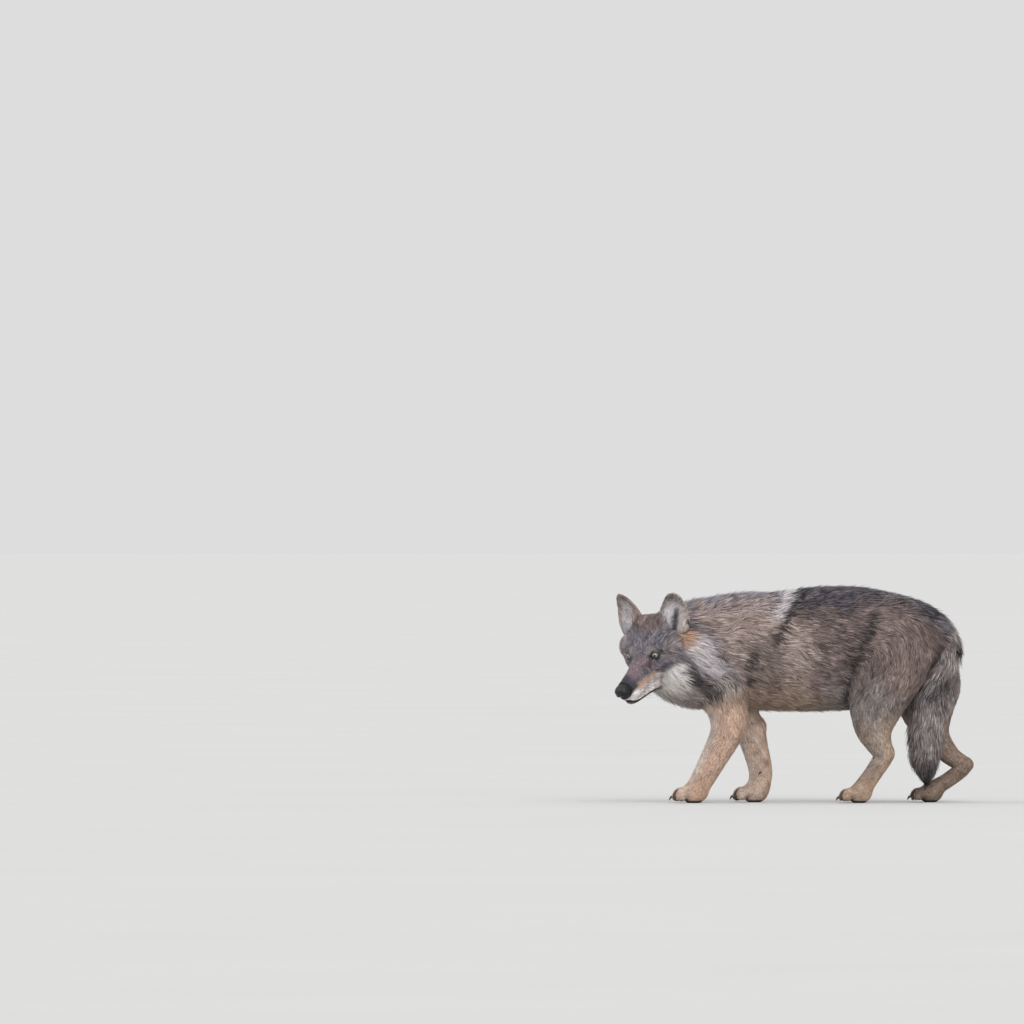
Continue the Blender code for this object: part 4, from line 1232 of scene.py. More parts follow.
def jaw_markings(face, paint, head):
    """The lips, the cheek, the jaw and the chin, and the spots by the eyes."""
    forward, _, up = face.T
    rise = 0.12 * np.maximum(0.045 - forward, 0)
    lips = smooth_step(-0.039, -0.052, up + rise) * smooth_step(-0.055, -0.02, forward)
    paint.lay("upper lip", lips * head)
    paint.lay("muzzle stripe", smooth_step(0.019, 0.004, stretch_distance(face, *MUZZLE_STRIPE)) * 0.8)
    cheek = smooth_step(-0.040, -0.058, up) * smooth_step(0.05, 0.01, forward)
    cheek = cheek * smooth_step(-0.045, -0.015, forward)
    paint.lay("cheek front", cheek * head * 0.9)
    paint.lay("jaw", head * smooth_step(-0.098, -0.120, up) * smooth_step(-0.06, -0.01, forward))
    under = up - np.interp(forward, *zip(*LIPS[::-1]))
    paint.lay("chin", head * smooth_step(0.002, -0.003, under) * smooth_step(0.05, 0.08, forward) * 0.92)
    paint.lay_spots(EYE_SPOTS, face)


def ruff_markings(face, paint, head, patchy):
    """The pale crest of the ruff, the white cheek, and the band of painted shade that edges it."""
    ragged = 0.006 * patchy
    paint.lay("ruff", smooth_step(0.034, 0.014, chain_distance(face, RUFF_CREST) + ragged) * 0.9)
    paint.lay_spots(CHEEK_SPOTS, face)
    edge = chain_distance(face, CHEEK_EDGE) + 0.5 * ragged
    paint.lay("cheek edge", smooth_step(0.016, 0.005, edge) * 0.45)
    throat = smooth_step(-0.118, -0.145, face[:, 2] + 0.006 * patchy) * head
    paint.lay("throat", throat * 0.85)
    # painted shade under the ruff
    band = chain_distance(face, RUFF_SHADE_BAND) + 1.3 * ragged
    paint.lay("ruff painted shade band", smooth_step(0.022, 0.007, band) * 0.86)


def eye_markings(points, face, paint):
    """The black rim of each eye, and the dark lines at its corners."""
    rim = np.full(len(points), 1.0)
    for side in (-1, 1):
        gap, ahead, radius = eye_places(points, side)
        rim = np.minimum(rim, np.where((ahead > 0) & (radius < EYE_ZONE), gap, 1.0))
    paint.lay("eye rim", smooth_step(0.0056, 0.0034, rim))
    paint.lay("tear", smooth_step(0.0085, 0.0030, stretch_distance(face, *TEAR)) * 0.9)
    paint.lay("eye corner", smooth_step(0.0065, 0.0025, stretch_distance(face, *EYE_CORNER)) * 0.8)


def face_markings(points, paint):
    face = mirrored(points)
    forward, out, up = face.T
    patchy = wave(points, 0.030, 5)
    head = smooth_step(-0.165, -0.120, forward) * smooth_step(-0.215, -0.17, up)
    head = head * smooth_step(0.24, 0.20, out)
    skull_markings(face, paint, head)
    jaw_markings(face, paint, head)
    ruff_markings(face, paint, head, patchy)
    eye_markings(points, face, paint)
    lip = line_distance(forward, up, LIPS) / np.interp(forward, (0.040, 0.070), (0.0060, 0.0036))
    paint.lay("black skin", smooth_step(1.0, 0.6, lip) * smooth_step(0.000, 0.012, forward))
    paint.lay_spots(MOUTH_SPOTS, face)
    nose = np.linalg.norm((face - np.array(NOSE[0])) / np.array(NOSE[1]), axis=1)
    paint.lay("black skin", smooth_step(1.45, 1.20, nose))


def ear_markings(points, paint, ear, hollow):
    left = to_head(points)[:, 1]
    face = mirrored(points)
    _, out, up = face.T
    _, outs, ups, wides, _ = np.transpose(EAR)
    across = (out - np.interp(up, ups, outs)) / np.interp(up, ups, wides)
    tip = smooth_step(0.095, 0.145, up)
    paint.lay("ear", ear)
    paint.lay("ear edge", ear * smooth_step(-0.4, -0.9, across) * 0.8)
    paint.lay("ear tip", ear * tip * 0.6)
    inside = ear * hollow
    paint.lay("ear inside", inside)
    paint.lay("ear rim", inside * smooth_step(0.62, 0.92, np.abs(across)) * 0.8)
    low = np.where(left < 0, smooth_step(0.120, 0.080, up), 0.7 * smooth_step(0.050, 0.025, up))
    paint.lay("ear root inside", inside * smooth_step(-0.15, -0.55, across) * low * 0.85)
    paint.lay("ear tip inside", inside * tip)
    # The dark slit is painted shade in the ear's hollow, laid stronger on the near ear than on the far one.
    slit = smooth_step(0.42, 0.06, np.abs(across - 0.18))
    slit = slit * smooth_step(0.018, 0.040, up) * smooth_step(0.106, 0.082, up)
    paint.lay("ear slit", inside * slit * np.where(left > 0, 0.94, 0.30))
    paint.lay("ear fold", inside * smooth_step(0.42, 0.66, across) * 0.7)
    paint.lay_spots(EAR_POCKET_SPOTS, face, ear)


def markings(points, region, ear, hollow):
    paint = Paint(len(points), "under all")
    body_markings(points, paint)
    leg_markings(points, paint, region)
    tail_markings(points, paint, region)
    face_markings(points, paint)
    ear_markings(points, paint, ear, hollow)
    paint.lay("sole", smooth_step(0.010, 0.004, points[:, 2]))
    paint.colour *= (1 + 0.14 * wave(points, 0.035, 21) + 0.08 * wave(points, 0.012, 22))[:, None]
    return paint


# ---------------------------------------------------------------- tufts

EAR_HAIR = (1.4, 4.0, 0.3, 0.15)  # how much longer, deeper, wider and wider spaced it is inside the ears
SWIRL = (0.07, 0.28)  # size of the swirls in the lie of the coat, and how strong they are at most


class Coat:
    """What the tufts need at each of the skin's vertices."""

    def __init__(self, skin):
        self.points = read_points(skin.data)
        self.normals = read_normals(skin.data)
        self.triangles = read_triangles(skin.data)
        self.lie, self.sizes, self.region = coat_fields(self.points)
        local = to_head(self.points)
        outside = body_distance(self.points) + self.sizes[1]
        self.ear = smooth_step(0.001, 0.007, outside) * within(local, EAR_ZONE)
        self.hollow = np.zeros(len(self.points))
        for side in (-1, 1):
            self.add_ear(side, self.ear * (side * local[:, 1] > 0))
        self.lay_hair()
        paint = markings(self.points, self.region, self.ear, self.hollow)
        self.colour, self.dark, self.silver = paint.colour, paint.dark, paint.silver
        self.tree = tree_of(self.points)

    def add_ear(self, side, here):
        """The short hair of an ear, which is longer in its hollow and points outwards there."""
        across, ahead, along = ear_ways(side)
        hollow = smooth_step(-0.1, 0.3, self.normals @ ahead) * (here > 0.02)
        self.hollow = np.maximum(self.hollow, hollow)
        way = unit(along + hollow[:, None] * (0.55 * across + 0.35 * ahead))
        self.lie += here[:, None] * (way - self.lie)
        wanted = np.array(COATS["ear"])[:, None] * (1 + hollow * np.array(EAR_HAIR)[:, None])
        self.sizes += here * (wanted - self.sizes)

    def lay_hair(self):
        """Swirls the lie, lets the long hair hang, and lays it all along the skin."""
        swirl = np.stack([wave(self.points, SWIRL[0], 30 + k) for k in range(3)], 1)
        lie = self.lie + swirl * np.clip(self.sizes[0] * 5.5, 0, SWIRL[1])[:, None]
        lie[:, 2] -= 0.35 * smooth_step(0.02, 0.05, self.sizes[0]) * (1 - np.abs(self.normals[:, 2]))
        lie -= (lie * self.normals).sum(1, keepdims=True) * self.normals
        self.lie = unit(lie)

    def settle(self, points, share):
        """Moves points to a share of the coat's depth above the skin, and says which vertex is nearest."""
        at = nearest(self.tree, points)
        normals, depth = self.normals[at], self.sizes[1][at]
        above = ((points - self.points[at]) * normals).sum(1)
        furthest = 0.9 * depth + 0.003
        move = np.clip(share * depth - above, -furthest, furthest)
        return points + normals * move[:, None], at


CLUMP = 7  # tufts to a lock
PULL = (0.24, 0.22)  # how strongly a lock draws them together, and how much more where they are long
APART = (0.5, 0.15)  # shares of the distance between two roots that their bends and tips keep
TUFT_FACES = np.array([(1, 2, 4), (2, 3, 4), (3, 1, 4), (2, 1, 0), (3, 2, 0), (1, 3, 0)])
PATCH = 0.003  # a tuft's patch on the coat's map
PATCH_PLACES = np.array([(0, -0.5), (-0.5, 0), (0.5, 0), (0, 0.15), (0, 0.5)]) * PATCH

ROOT_DEPTH = 0.0010  # how far a tuft's root reaches under the skin
BEND = 0.40  # how far along it the bend lies
LIFTS = (0.58, 0.98)  # shares of the coat's depth that its bend and its tip reach
LENGTHS = (0.72, 1.18)  # the shortest and longest, as shares of the usual length
WIDTHS = (0.75, 1.25)  # and the thinnest and widest
TURN = 0.16  # spread of the tufts' turn from the lie of the coat
ROUGH = (0.14, 1.6)  # spread of the bends' lift, and how many times as much the tips take
SAG = 0.10  # how far a long hair's tip hangs, as a share of its length
BLADE = (0.55, 0.36)  # half width and ridge at the bend, as shares of the width
LOT_SHARES = (0.55, 0.45)  # how much of a tuft's lot comes from its lock, and from itself
LIGHTS = ((0.80, 1.20), (0.90, 1.10))  # how dark and light tufts are, and locks


def unwrapped(points, triangles):
    """A map of this part of the skin: each triangle's three places."""
    data = triangle_mesh("unwrap", points, triangles)
    spare = new_object("unwrap", data)
    bpy.context.view_layer.objects.active = spare
    spare.select_set(True)
    bpy.ops.object.mode_set(mode="EDIT")
    bpy.ops.mesh.select_all(action="SELECT")
    bpy.ops.uv.smart_project(angle_limit=math.radians(66), island_margin=0.003)
    bpy.ops.object.mode_set(mode="OBJECT")
    places = read(data.uv_layers.active.data, "uv", 2)
    bpy.data.objects.remove(spare)
    return places.reshape(-1, 3, 2)


def scattered(coat, triangles, draws):
    """Roots spread over the triangles: the triangle of each, and its shares of the corners."""
    corners = coat.points[triangles]
    area = np.linalg.norm(np.cross(corners[:, 1] - corners[:, 0], corners[:, 2] - corners[:, 0]), axis=1) / 2
    edges = np.cumsum(area / coat.sizes[3][triangles].mean(1) ** 2)
    count = int(edges[-1])
    face = np.searchsorted(edges, (np.arange(count) + draws.uniform(0, 1, count)) * edges[-1] / count)
    face = np.minimum(face, len(triangles) - 1)
    share = draws.uniform(0, 1, (count, 2))
    share = np.where(share.sum(1, keepdims=True) > 1, 1 - share, share)
    return face, np.column_stack((1 - share.sum(1), share))


def clumped(root, middle, tip, length, draws):
    """Draws the tufts together in locks; also which tuft leads each one's lock."""
    leaders = draws.permutation(len(root))[: max(len(root) // CLUMP, 1)]
    mine = leaders[nearest(tree_of(root[leaders]), root)]
    pull = (PULL[0] + PULL[1] * smooth_step(0.015, 0.045, length))[:, None]
    gather = tip[mine] + APART[1] * (root - root[mine]) - tip
    near = np.linalg.norm(gather, axis=1, keepdims=True) < 0.6 * length[:, None]
    tip = tip + np.where(near, pull, 0) * gather
    gather = middle[mine] + APART[0] * (root - root[mine]) - middle
    return middle + np.where(near, 0.5 * pull, 0) * gather, tip, mine


def tuft_colours(coat, at_middle, at_tip, mine, draws):
    """Colours of each tuft's five corners: darker at the root, and some with a dark or a silver tip."""
    count = len(mine)
    base = coat.colour[at_middle]
    lot = draws.uniform(0, 1, count)
    lot = LOT_SHARES[0] * lot[mine] + LOT_SHARES[1] * draws.uniform(0, 1, count)
    lot = (lot - 0.5) * 1.25 + 0.5
    dark = smooth_step(0.06, -0.06, lot - coat.dark[at_middle])[:, None]
    silver = smooth_step(-0.06, 0.06, lot - 1 + coat.silver[at_middle])[:, None]
    light = draws.uniform(*LIGHTS[0], count)
    light = (light * draws.uniform(*LIGHTS[1], count)[mine])[:, None]
    pale = np.minimum(base * 2.0 + 0.11, np.array(SILVER))
    at_root = base * 0.60 * light
    at_bend = base * light * (1 - 0.40 * dark)
    at_end = 0.5 * (base + coat.colour[at_tip]) * 1.10 * light
    at_end = at_end + dark * (base * 0.20 - at_end)
    at_bend = at_bend + silver * 0.25 * (pale - at_bend)
    at_end = at_end + silver * 0.85 * (pale * light - at_end)
    return np.stack((at_root, at_bend, at_bend, at_bend, at_end), 1)


def grow(coat, name, chosen, seed):
    """The tufts of some of the skin's triangles, as one mesh."""
    draws = np.random.default_rng(seed)
    triangles = coat.triangles[chosen]
    used, compact = np.unique(triangles, return_inverse=True)
    places = unwrapped(coat.points[used], compact.reshape(-1, 3))
    face, share = scattered(coat, triangles, draws)
    count = len(face)

    def blend(values):
        return (values[triangles[face]] * share.reshape(share.shape + (1,) * (values.ndim - 1))).sum(1)

    root, normal, lie = blend(coat.points), unit(blend(coat.normals)), unit(blend(coat.lie))
    length, depth, width = (blend(row) for row in coat.sizes[:3])
    side = np.cross(normal, lie)
    turn = draws.normal(0, TURN, count)[:, None]
    lie = unit(lie + side * turn)
    length = length * draws.uniform(*LENGTHS, count)
    rough = draws.normal(0, ROUGH[0], count) * np.clip(depth / 0.012, 0.3, 1.0)
    middle, at_middle = coat.settle(root + lie * BEND * length[:, None], LIFTS[0] + rough)
    onward = unit(coat.lie[at_middle] + side * 0.7 * turn)
    tip, at_tip = coat.settle(middle + onward * (1 - BEND) * length[:, None], LIFTS[1] + ROUGH[1] * rough)
    tip[:, 2] -= SAG * length * (1 - np.abs(coat.normals[at_tip][:, 2])) * smooth_step(0.02, 0.05, length)
    middle, tip, mine = clumped(root, middle, tip, length, draws)

    last = unit(tip - middle)
    over = coat.normals[at_middle]
    across = unit(np.cross(over, last))
    wide = (width * draws.uniform(*WIDTHS, count))[:, None]
    points = np.stack((root - normal * ROOT_DEPTH, middle - across * BLADE[0] * wide,
                       middle + across * BLADE[0] * wide, middle + over * BLADE[1] * wide, tip), 1)
    up = np.stack((normal, over, over, over, coat.normals[at_tip]), 1)
    out = np.stack((-lie, -across, across, over, last), 1)
    colours = tuft_colours(coat, at_middle, at_tip, mine, draws)

    numbers = (np.arange(count) * 5)[:, None, None] + TUFT_FACES
    data = triangle_mesh(name, points.reshape(-1, 3) + SHIFT, numbers.reshape(-1, 3))
    set_colours(data, colours.reshape(-1, 3))
    spots = (places[face] * share[:, :, None]).sum(1)[:, None] + PATCH_PLACES
    layer = data.uv_layers.new(name="OFBake")
    spots = np.clip(spots.reshape(-1, 2)[numbers.reshape(-1)], 0, 1)
    layer.data.foreach_set("uv", spots.astype(np.float32).ravel())
    data.normals_split_custom_set_from_vertices(unit(0.8 * up + 0.5 * out).reshape(-1, 3))
    return new_object(name, data)


# ---------------------------------------------------------------- materials

def material(name, roughness, **sockets):
    """A Principled material; also its nodes, its links and its shader."""
    made = bpy.data.materials.new(name)
    made.use_nodes = True
    nodes, links = made.node_tree.nodes, made.node_tree.links
    shader = nodes["Principled BSDF"]
    shader.inputs["Roughness"].default_value = roughness
    for socket, value in sockets.items():
        shader.inputs[socket].default_value = value
    return made, nodes, links, shader


def add_attribute(nodes, name):
    own = nodes.new("ShaderNodeAttribute")
    own.attribute_name = name
    return own


def add_noise(nodes, links, scale, detail, low, high):
    """Noise in the object's own space: as it is, and between low and high."""
    place = nodes.new("ShaderNodeTexCoord")
    noise = nodes.new("ShaderNodeTexNoise")
    noise.inputs["Scale"].default_value = scale
    noise.inputs["Detail"].default_value = detail
    span = nodes.new("ShaderNodeMapRange")
    for socket, value in (("From Min", 0.3), ("From Max", 0.7), ("To Min", low), ("To Max", high)):
        span.inputs[socket].default_value = value
    links.new(place.outputs["Object"], noise.inputs["Vector"])
    links.new(noise.outputs["Fac"], span.inputs["Value"])
    return noise.outputs["Fac"], span.outputs["Result"]


def add_bump(nodes, links, shader, noise, strength, distance):
    relief = nodes.new("ShaderNodeBump")
    relief.inputs["Strength"].default_value = strength
    relief.inputs["Distance"].default_value = distance
    links.new(noise, relief.inputs["Height"])
    links.new(relief.outputs["Normal"], shader.inputs["Normal"])


def hair_material(name, roughness, scale, bump, **sockets):
    """The mesh's own colours, streaked by fine noise."""
    made, nodes, links, shader = material(name, roughness, **sockets)
    own = add_attribute(nodes, "coat")
    noise, strength = add_noise(nodes, links, scale, 4.0, 0.80, 1.22)
    mixed = nodes.new("ShaderNodeVectorMath")
    mixed.operation = "SCALE"
    links.new(own.outputs["Color"], mixed.inputs[0])
    links.new(strength, mixed.inputs["Scale"])
    links.new(mixed.outputs["Vector"], shader.inputs["Base Color"])
    if bump:
        add_bump(nodes, links, shader, noise, 0.6, bump)
    return made


def leather_material(name, colour, second, roughness, scale, bump):
    """Two colours mingled by noise."""
    made, nodes, links, shader = material(name, roughness)
    noise, strength = add_noise(nodes, links, scale, 5.0, 0.0, 1.0)
    blend = nodes.new("ShaderNodeMix")
    blend.data_type = "RGBA"
    blend.inputs["A"].default_value = (*colour, 1)
    blend.inputs["B"].default_value = (*second, 1)
    links.new(strength, blend.inputs["Factor"])
    links.new(blend.outputs["Result"], shader.inputs["Base Color"])
    add_bump(nodes, links, shader, noise, 0.5, bump)
    return made


PUPIL = math.radians(14)
IRIS = math.radians(42)
EYE_SPAN = IRIS * 1.6  # the angle at which the eye's colours end
EYE_RINGS = (  # angle from the pupil's middle, colour
    (0.0, (0.004, 0.004, 0.004)),
    (PUPIL * 0.96, (0.004, 0.004, 0.004)),
    (PUPIL * 1.06, (0.12, 0.095, 0.055)),
    (IRIS * 0.50, (0.25, 0.212, 0.130)),
    (IRIS * 0.78, (0.34, 0.300, 0.200)),
    (IRIS * 0.90, (0.10, 0.080, 0.052)),
    (IRIS * 1.02, (0.012, 0.010, 0.009)),
    (IRIS * 1.15, (0.030, 0.022, 0.018)),
    (EYE_SPAN, (0.25, 0.20, 0.17)),
)
SPOKE_DEPTH = 0.05  # how far the spokes of the iris shift its colours


def eye_material():
    made, nodes, links, shader = material("eye", 0.25, **{"Coat Weight": 1.0, "Coat Roughness": 0.03})
    angle = add_attribute(nodes, "angle")
    spokes = add_attribute(nodes, "spokes")
    ring = nodes.new("ShaderNodeMath")
    ring.operation = "MULTIPLY_ADD"
    ring.inputs[1].default_value = SPOKE_DEPTH
    links.new(spokes.outputs["Fac"], ring.inputs[0])
    links.new(angle.outputs["Fac"], ring.inputs[2])
    ramp = nodes.new("ShaderNodeValToRGB")
    stops = ramp.color_ramp.elements
    stops.remove(stops[1])
    for number, (turn, colour) in enumerate(EYE_RINGS):
        share = turn / EYE_SPAN
        stop = stops.new(share) if number else stops[0]
        stop.position = share
        stop.color = (*colour, 1)
    links.new(ring.outputs["Value"], ramp.inputs["Fac"])
    links.new(ramp.outputs["Color"], shader.inputs["Base Color"])
    return made


# ---------------------------------------------------------------- eyes, lids, nose, claws, whiskers

CORNEA = 0.0011  # how far it stands out of the eyeball
EYE_GRID = (60, 44, 64)  # rings in all, those of its front, and corners to a ring
SPOKES = (9, 14, 23, 31, 5, 17)  # waves round the iris

LID_COLOUR = (0.090, 0.078, 0.085)
LID_CORNERS = 72
LID_ROWS = (  # how far out from the opening, and distance from the eyeball's middle
    (0.0004, 0.0136), (-0.0002, 0.0147), (0.0003, 0.0155), (0.0013, 0.0161), (0.0028, 0.0165),
    (0.0046, 0.0165), (0.0062, 0.0158), (0.0072, 0.0144), (0.0062, 0.0130), (0.0030, 0.0122),
)

NOSTRIL = (((0.178, 0.0100, -0.0345), (0.158, 0.0130, -0.0345)), 0.0050)
NOSTRIL_SLIT = (((0.168, 0.0150, -0.0370), (0.148, 0.0275, -0.0410)), 0.0020)
NOSE_WING = ((0.155, 0.0130, -0.0370), (0.0150, 0.0115, 0.0125))
# Near black; its faint blue is a painted reflection of the sky.
NOSE_COLOUR = (0.006, 0.006, 0.010)
NOSE_PAD = ((0.1490, 0.0, -0.0320), (0.0215, 0.0215, 0.0205))
NOSE_SQUARE = 2.6  # 2 would make it oval
NOSE_TOP = ((0.150, -0.0128), -0.25)  # a place on its top, and its slope forward
NOSE_UNDER = ((0.1645, -0.0465), 0.95)
NOSE_GROOVE = (0.0007, -0.0300, 0.0022)  # half width, top and depth

CLAW = (  # places behind the tip of the toe and above it, and radius
    (0.004, 0.0050, 0.0044), (0.0105, 0.0045, 0.0039), (0.0160, 0.0010, 0.0029),
    (0.0200, -0.0055, 0.0012), (0.0210, -0.0075, 0.0004),
)
DEWCLAW = (  # places ahead of the leg's middle, inward from it and above it, and radius
    (0.0, 0.026, 0.0, 0.0036), (0.007, 0.0320, -0.003, 0.0028), (0.0110, 0.0330, -0.008, 0.0008),
)


def grid_triangles(rings, corners, round_about=False):
    """Triangles of a grid of rings, each joined to the next, and the last to the first if round about."""
    found = []
    for i in range(rings if round_about else rings - 1):
        one, two = i * corners, (i + 1) % rings * corners
        for k in range(corners):
            n = (k + 1) % corners
            found += [(one + k, one + n, two + n), (one + k, two + n, two + k)]
    return found


def capped_triangles(rings, corners):
    """A grid's triangles and those that join its ends to two more points, which follow the rings."""
    first, last = rings * corners, (rings - 1) * corners
    caps = [(first, (k + 1) % corners, k) for k in range(corners)]
    caps += [(first + 1, last + k, last + (k + 1) % corners) for k in range(corners)]
    return np.array(grid_triangles(rings, corners) + caps)


def circle(corners):
    return np.linspace(0, 2 * math.pi, corners, endpoint=False)


def make_eye(hand, side):
    """An eyeball with a raised cornea, turned to its gaze."""
    rings, front, corners = EYE_GRID
    turns = np.concatenate((np.linspace(0.01, 0.95, front), np.linspace(1.0, math.pi - 0.02, rings - front)))
    axes, centre, about = gaze_axes(side), eye_centre(side), circle(corners)
    points, angles, spokes = [], [], []
    starts = np.random.default_rng(5).uniform(0, 7, len(SPOKES))
    for turn in turns:
        radius = EYE_RADIUS + CORNEA * smooth_step(0.72, 0.25, turn)
        local = np.stack((np.full(corners, math.cos(turn)), math.sin(turn) * np.cos(about),
                          math.sin(turn) * np.sin(about)), 1) * radius
        points.append(centre + local @ axes.T)
        angles.append(np.full(corners, turn / EYE_SPAN))
        iris = smooth_step(PUPIL * 0.9, IRIS * 0.5, turn) * smooth_step(IRIS, IRIS * 0.8, turn)
        spokes.append(sum(np.sin(n * about + start) for n, start in zip(SPOKES, starts)) / len(SPOKES) * iris)
    ends = centre + axes[:, 0] * (EYE_RADIUS + CORNEA), centre - axes[:, 0] * EYE_RADIUS
    faces = capped_triangles(rings, corners)[:, ::-1]
    data = triangle_mesh(f"eyeball_{hand}", np.vstack((*points, *ends)) + SHIFT, faces)
    set_values(data, np.concatenate((*angles, (0.0, 3.0))), "angle")
    set_values(data, np.concatenate((*spokes, (0.0, 0.0))), "spokes")
    return new_object(f"eyeball_{hand}", data)


def almond(turn, side, grow):
    """Places round the opening between the lids, grown outwards: across and up."""
    c, s = math.cos(LID_TILT), math.sin(LID_TILT)
    across = (LID_GAP[0] + 0.0010 + grow) * np.cos(turn)
    up = np.sin(turn) * (LID_GAP[1] + grow) * np.abs(np.sin(turn)) ** 0.35
    up = np.where(up > 0, *LID_HEIGHTS) * up
    return side * (across * c - up * s), across * s + up * c


def make_lids():
    """The lids of both eyes, as a closed ring round each, dark at the margin."""
    turn = circle(LID_CORNERS)
    ring = np.array(grid_triangles(len(LID_ROWS), LID_CORNERS, round_about=True))
    points, faces = [], []
    for side in (-1, 1):
        axes, centre = gaze_axes(side), eye_centre(side)
        faces.append((ring if side == 1 else ring[:, ::-1]) + len(points) * LID_CORNERS)
        for out, radius in LID_ROWS:
            across, up = almond(turn, side, out)
            ahead = np.sqrt(np.maximum(radius**2 - across**2 - up**2, (0.35 * radius) ** 2))
            points.append(centre + np.stack((ahead, across, up), 1) @ axes.T)
    data = triangle_mesh("eyelids", np.vstack(points) + SHIFT, np.vstack(faces))
    out = np.tile(np.repeat([row[0] for row in LID_ROWS], LID_CORNERS), 2)
    margin = smooth_step(0.0054, 0.0030, out)[:, None]
    set_colours(data, np.array(LID_COLOUR) + margin * np.subtract(BLACK, LID_COLOUR))
    return new_object("eyelids", data)


def capsule(places, run, radius):
    return stretch_distance(places, *run) - radius


def nose_form(points):
    """The nose pad: a squarish ball with wings, flattened above and below, grooved, with two nostrils."""
    local = mirrored(points)
    off = np.abs(local - NOSE_PAD[0]) / NOSE_PAD[1]
    found = ((off**NOSE_SQUARE).sum(1) ** (1 / NOSE_SQUARE) - 1) * NOSE_PAD[1][2]
    found = smooth_min(found, oval_distance((local - NOSE_WING[0]).T, NOSE_WING[1]), 0.006)
    for (place, slope), way in ((NOSE_TOP, 1), (NOSE_UNDER, -1)):
        beyond = way * (local[:, 2] - place[1] - slope * (local[:, 0] - place[0])) / math.hypot(1, slope)
        found = cut(found, -beyond, 0.007)
    half, top, deep = NOSE_GROOVE
    groove = np.maximum(local[:, 1] - half, local[:, 2] - top)
    found = cut(found, np.maximum(groove, -(found + deep)), 0.0012)
    found = cut(found, capsule(local, *NOSTRIL), 0.003)
    return cut(found, np.maximum(capsule(local, *NOSTRIL_SLIT), -(found + 0.004)), 0.0015)


def make_nose():
    mesh = bmesh.new()
    bmesh.ops.create_icosphere(mesh, subdivisions=5, radius=1.0)
    made = object_from("nose_pad", mesh)
    points = in_head(NOSE[0]) + (read_points(made.data) * np.array(NOSE[1])) @ HEAD_AXES.T
    points = draw_on(points, nose_form, rounds=6, furthest=0.002)
    points = relaxed(points, read_edges(made.data), 0.3)
    local = mirrored(points)
    # Painted shade: the nose is darker inside its nostrils.
    hole = np.minimum(capsule(local, *NOSTRIL), capsule(local, *NOSTRIL_SLIT))
    set_colours(made.data, np.array(NOSE_COLOUR) * smooth_step(0.0002, 0.0022, hole)[:, None] + 0.002)
    write_points(made.data, points + SHIFT)
    shade_smooth(made.data)
    return made


def spike(stations, corners=12):
    """A closed round spike through stations of x, y, z, radius; the last is its point."""
    rows = smooth_through(stations, 4)
    turn = circle(corners)[:, None]
    points = []
    for i, row in enumerate(rows):
        along = unit(rows[min(i + 1, len(rows) - 1), :3] - rows[max(i - 1, 0), :3])
        side = unit(np.cross(along, (0.1, 0.9, 0.3)))
        over = np.cross(along, side)
        points.append(row[:3] + max(row[3], 0.00012) * (np.cos(turn) * side + np.sin(turn) * over))
    return np.vstack((*points, rows[0, :3], rows[-1, :3])), capped_triangles(len(rows), corners)


def joined_spikes(name, spikes):
    points, faces, start = [], [], 0
    for some, ring in spikes:
        points.append(some)
        faces.append(ring + start)
        start += len(some)
    return new_object(name, triangle_mesh(name, np.vstack(points) + SHIFT, np.vstack(faces)))


def make_claws(leg):
    """A foot's claws, and the names of the solids that they replace."""
    stations, side, size = LEGS[leg]
    x, y = foot_x(stations), side * LEG_OUT[1][0]
    spikes, replaced = [], []
    for number, (out, reach) in enumerate(TOES):
        tip = np.array((x - (reach - TOE_TIP[0]) * size, y + out * size, TOE_TIP[1] * size))
        rows = [(*(tip + np.array((-back, 0, above)) * size), radius) for back, above, radius in CLAW]
        spikes.append(spike(rows))
        replaced.append(f"claw_{leg}_{number + 1}")
    if leg.startswith("fore"):
        x, z = stations[6][0] + 0.004, stations[6][1] - 0.004
        y = side * np.interp(z, *LEG_OUT)
        spikes.append(spike([(x - ahead, y - side * inward, z + above, radius)
                             for ahead, inward, above, radius in DEWCLAW]))
        replaced.append(f"dewclaw_{leg}")
    return joined_spikes(f"claws_{leg}", spikes), replaced


def whisker(side, row, step, draws):
    """A whisker of one of the rows down the lip, some steps back from the nose."""
    start = np.array((0.118 - 0.013 * step, side * (0.021 + 0.0025 * step), -0.048 - 0.007 * row))
    way = unit((-0.55 + 0.12 * draws.normal(), side * 0.85, -0.35 - 0.12 * row + 0.10 * draws.normal()))
    reach = draws.uniform(0.030, 0.050)
    middle = start + way * reach * 0.5
    end = start + way * reach + np.array((-0.010, 0, -0.004))
    return spike([(*in_head(start), 0.00040), (*in_head(middle), 0.00032), (*in_head(end), 0.00012)], 5)


def make_whiskers():
    draws = np.random.default_rng(77)
    places = [(side, row, step) for side in (-1, 1) for row in range(4) for step in range(4)]
    return joined_spikes("whiskers", [whisker(*place, draws) for place in places])


# ---------------------------------------------------------------- pieces

NECK_MIDDLE = -0.03  # along y, as the neck bends to the left
LOIN_START = 0.11  # along x
LEG_TOP = 0.23  # height at which the coat of a leg meets that of its shoulder or haunch


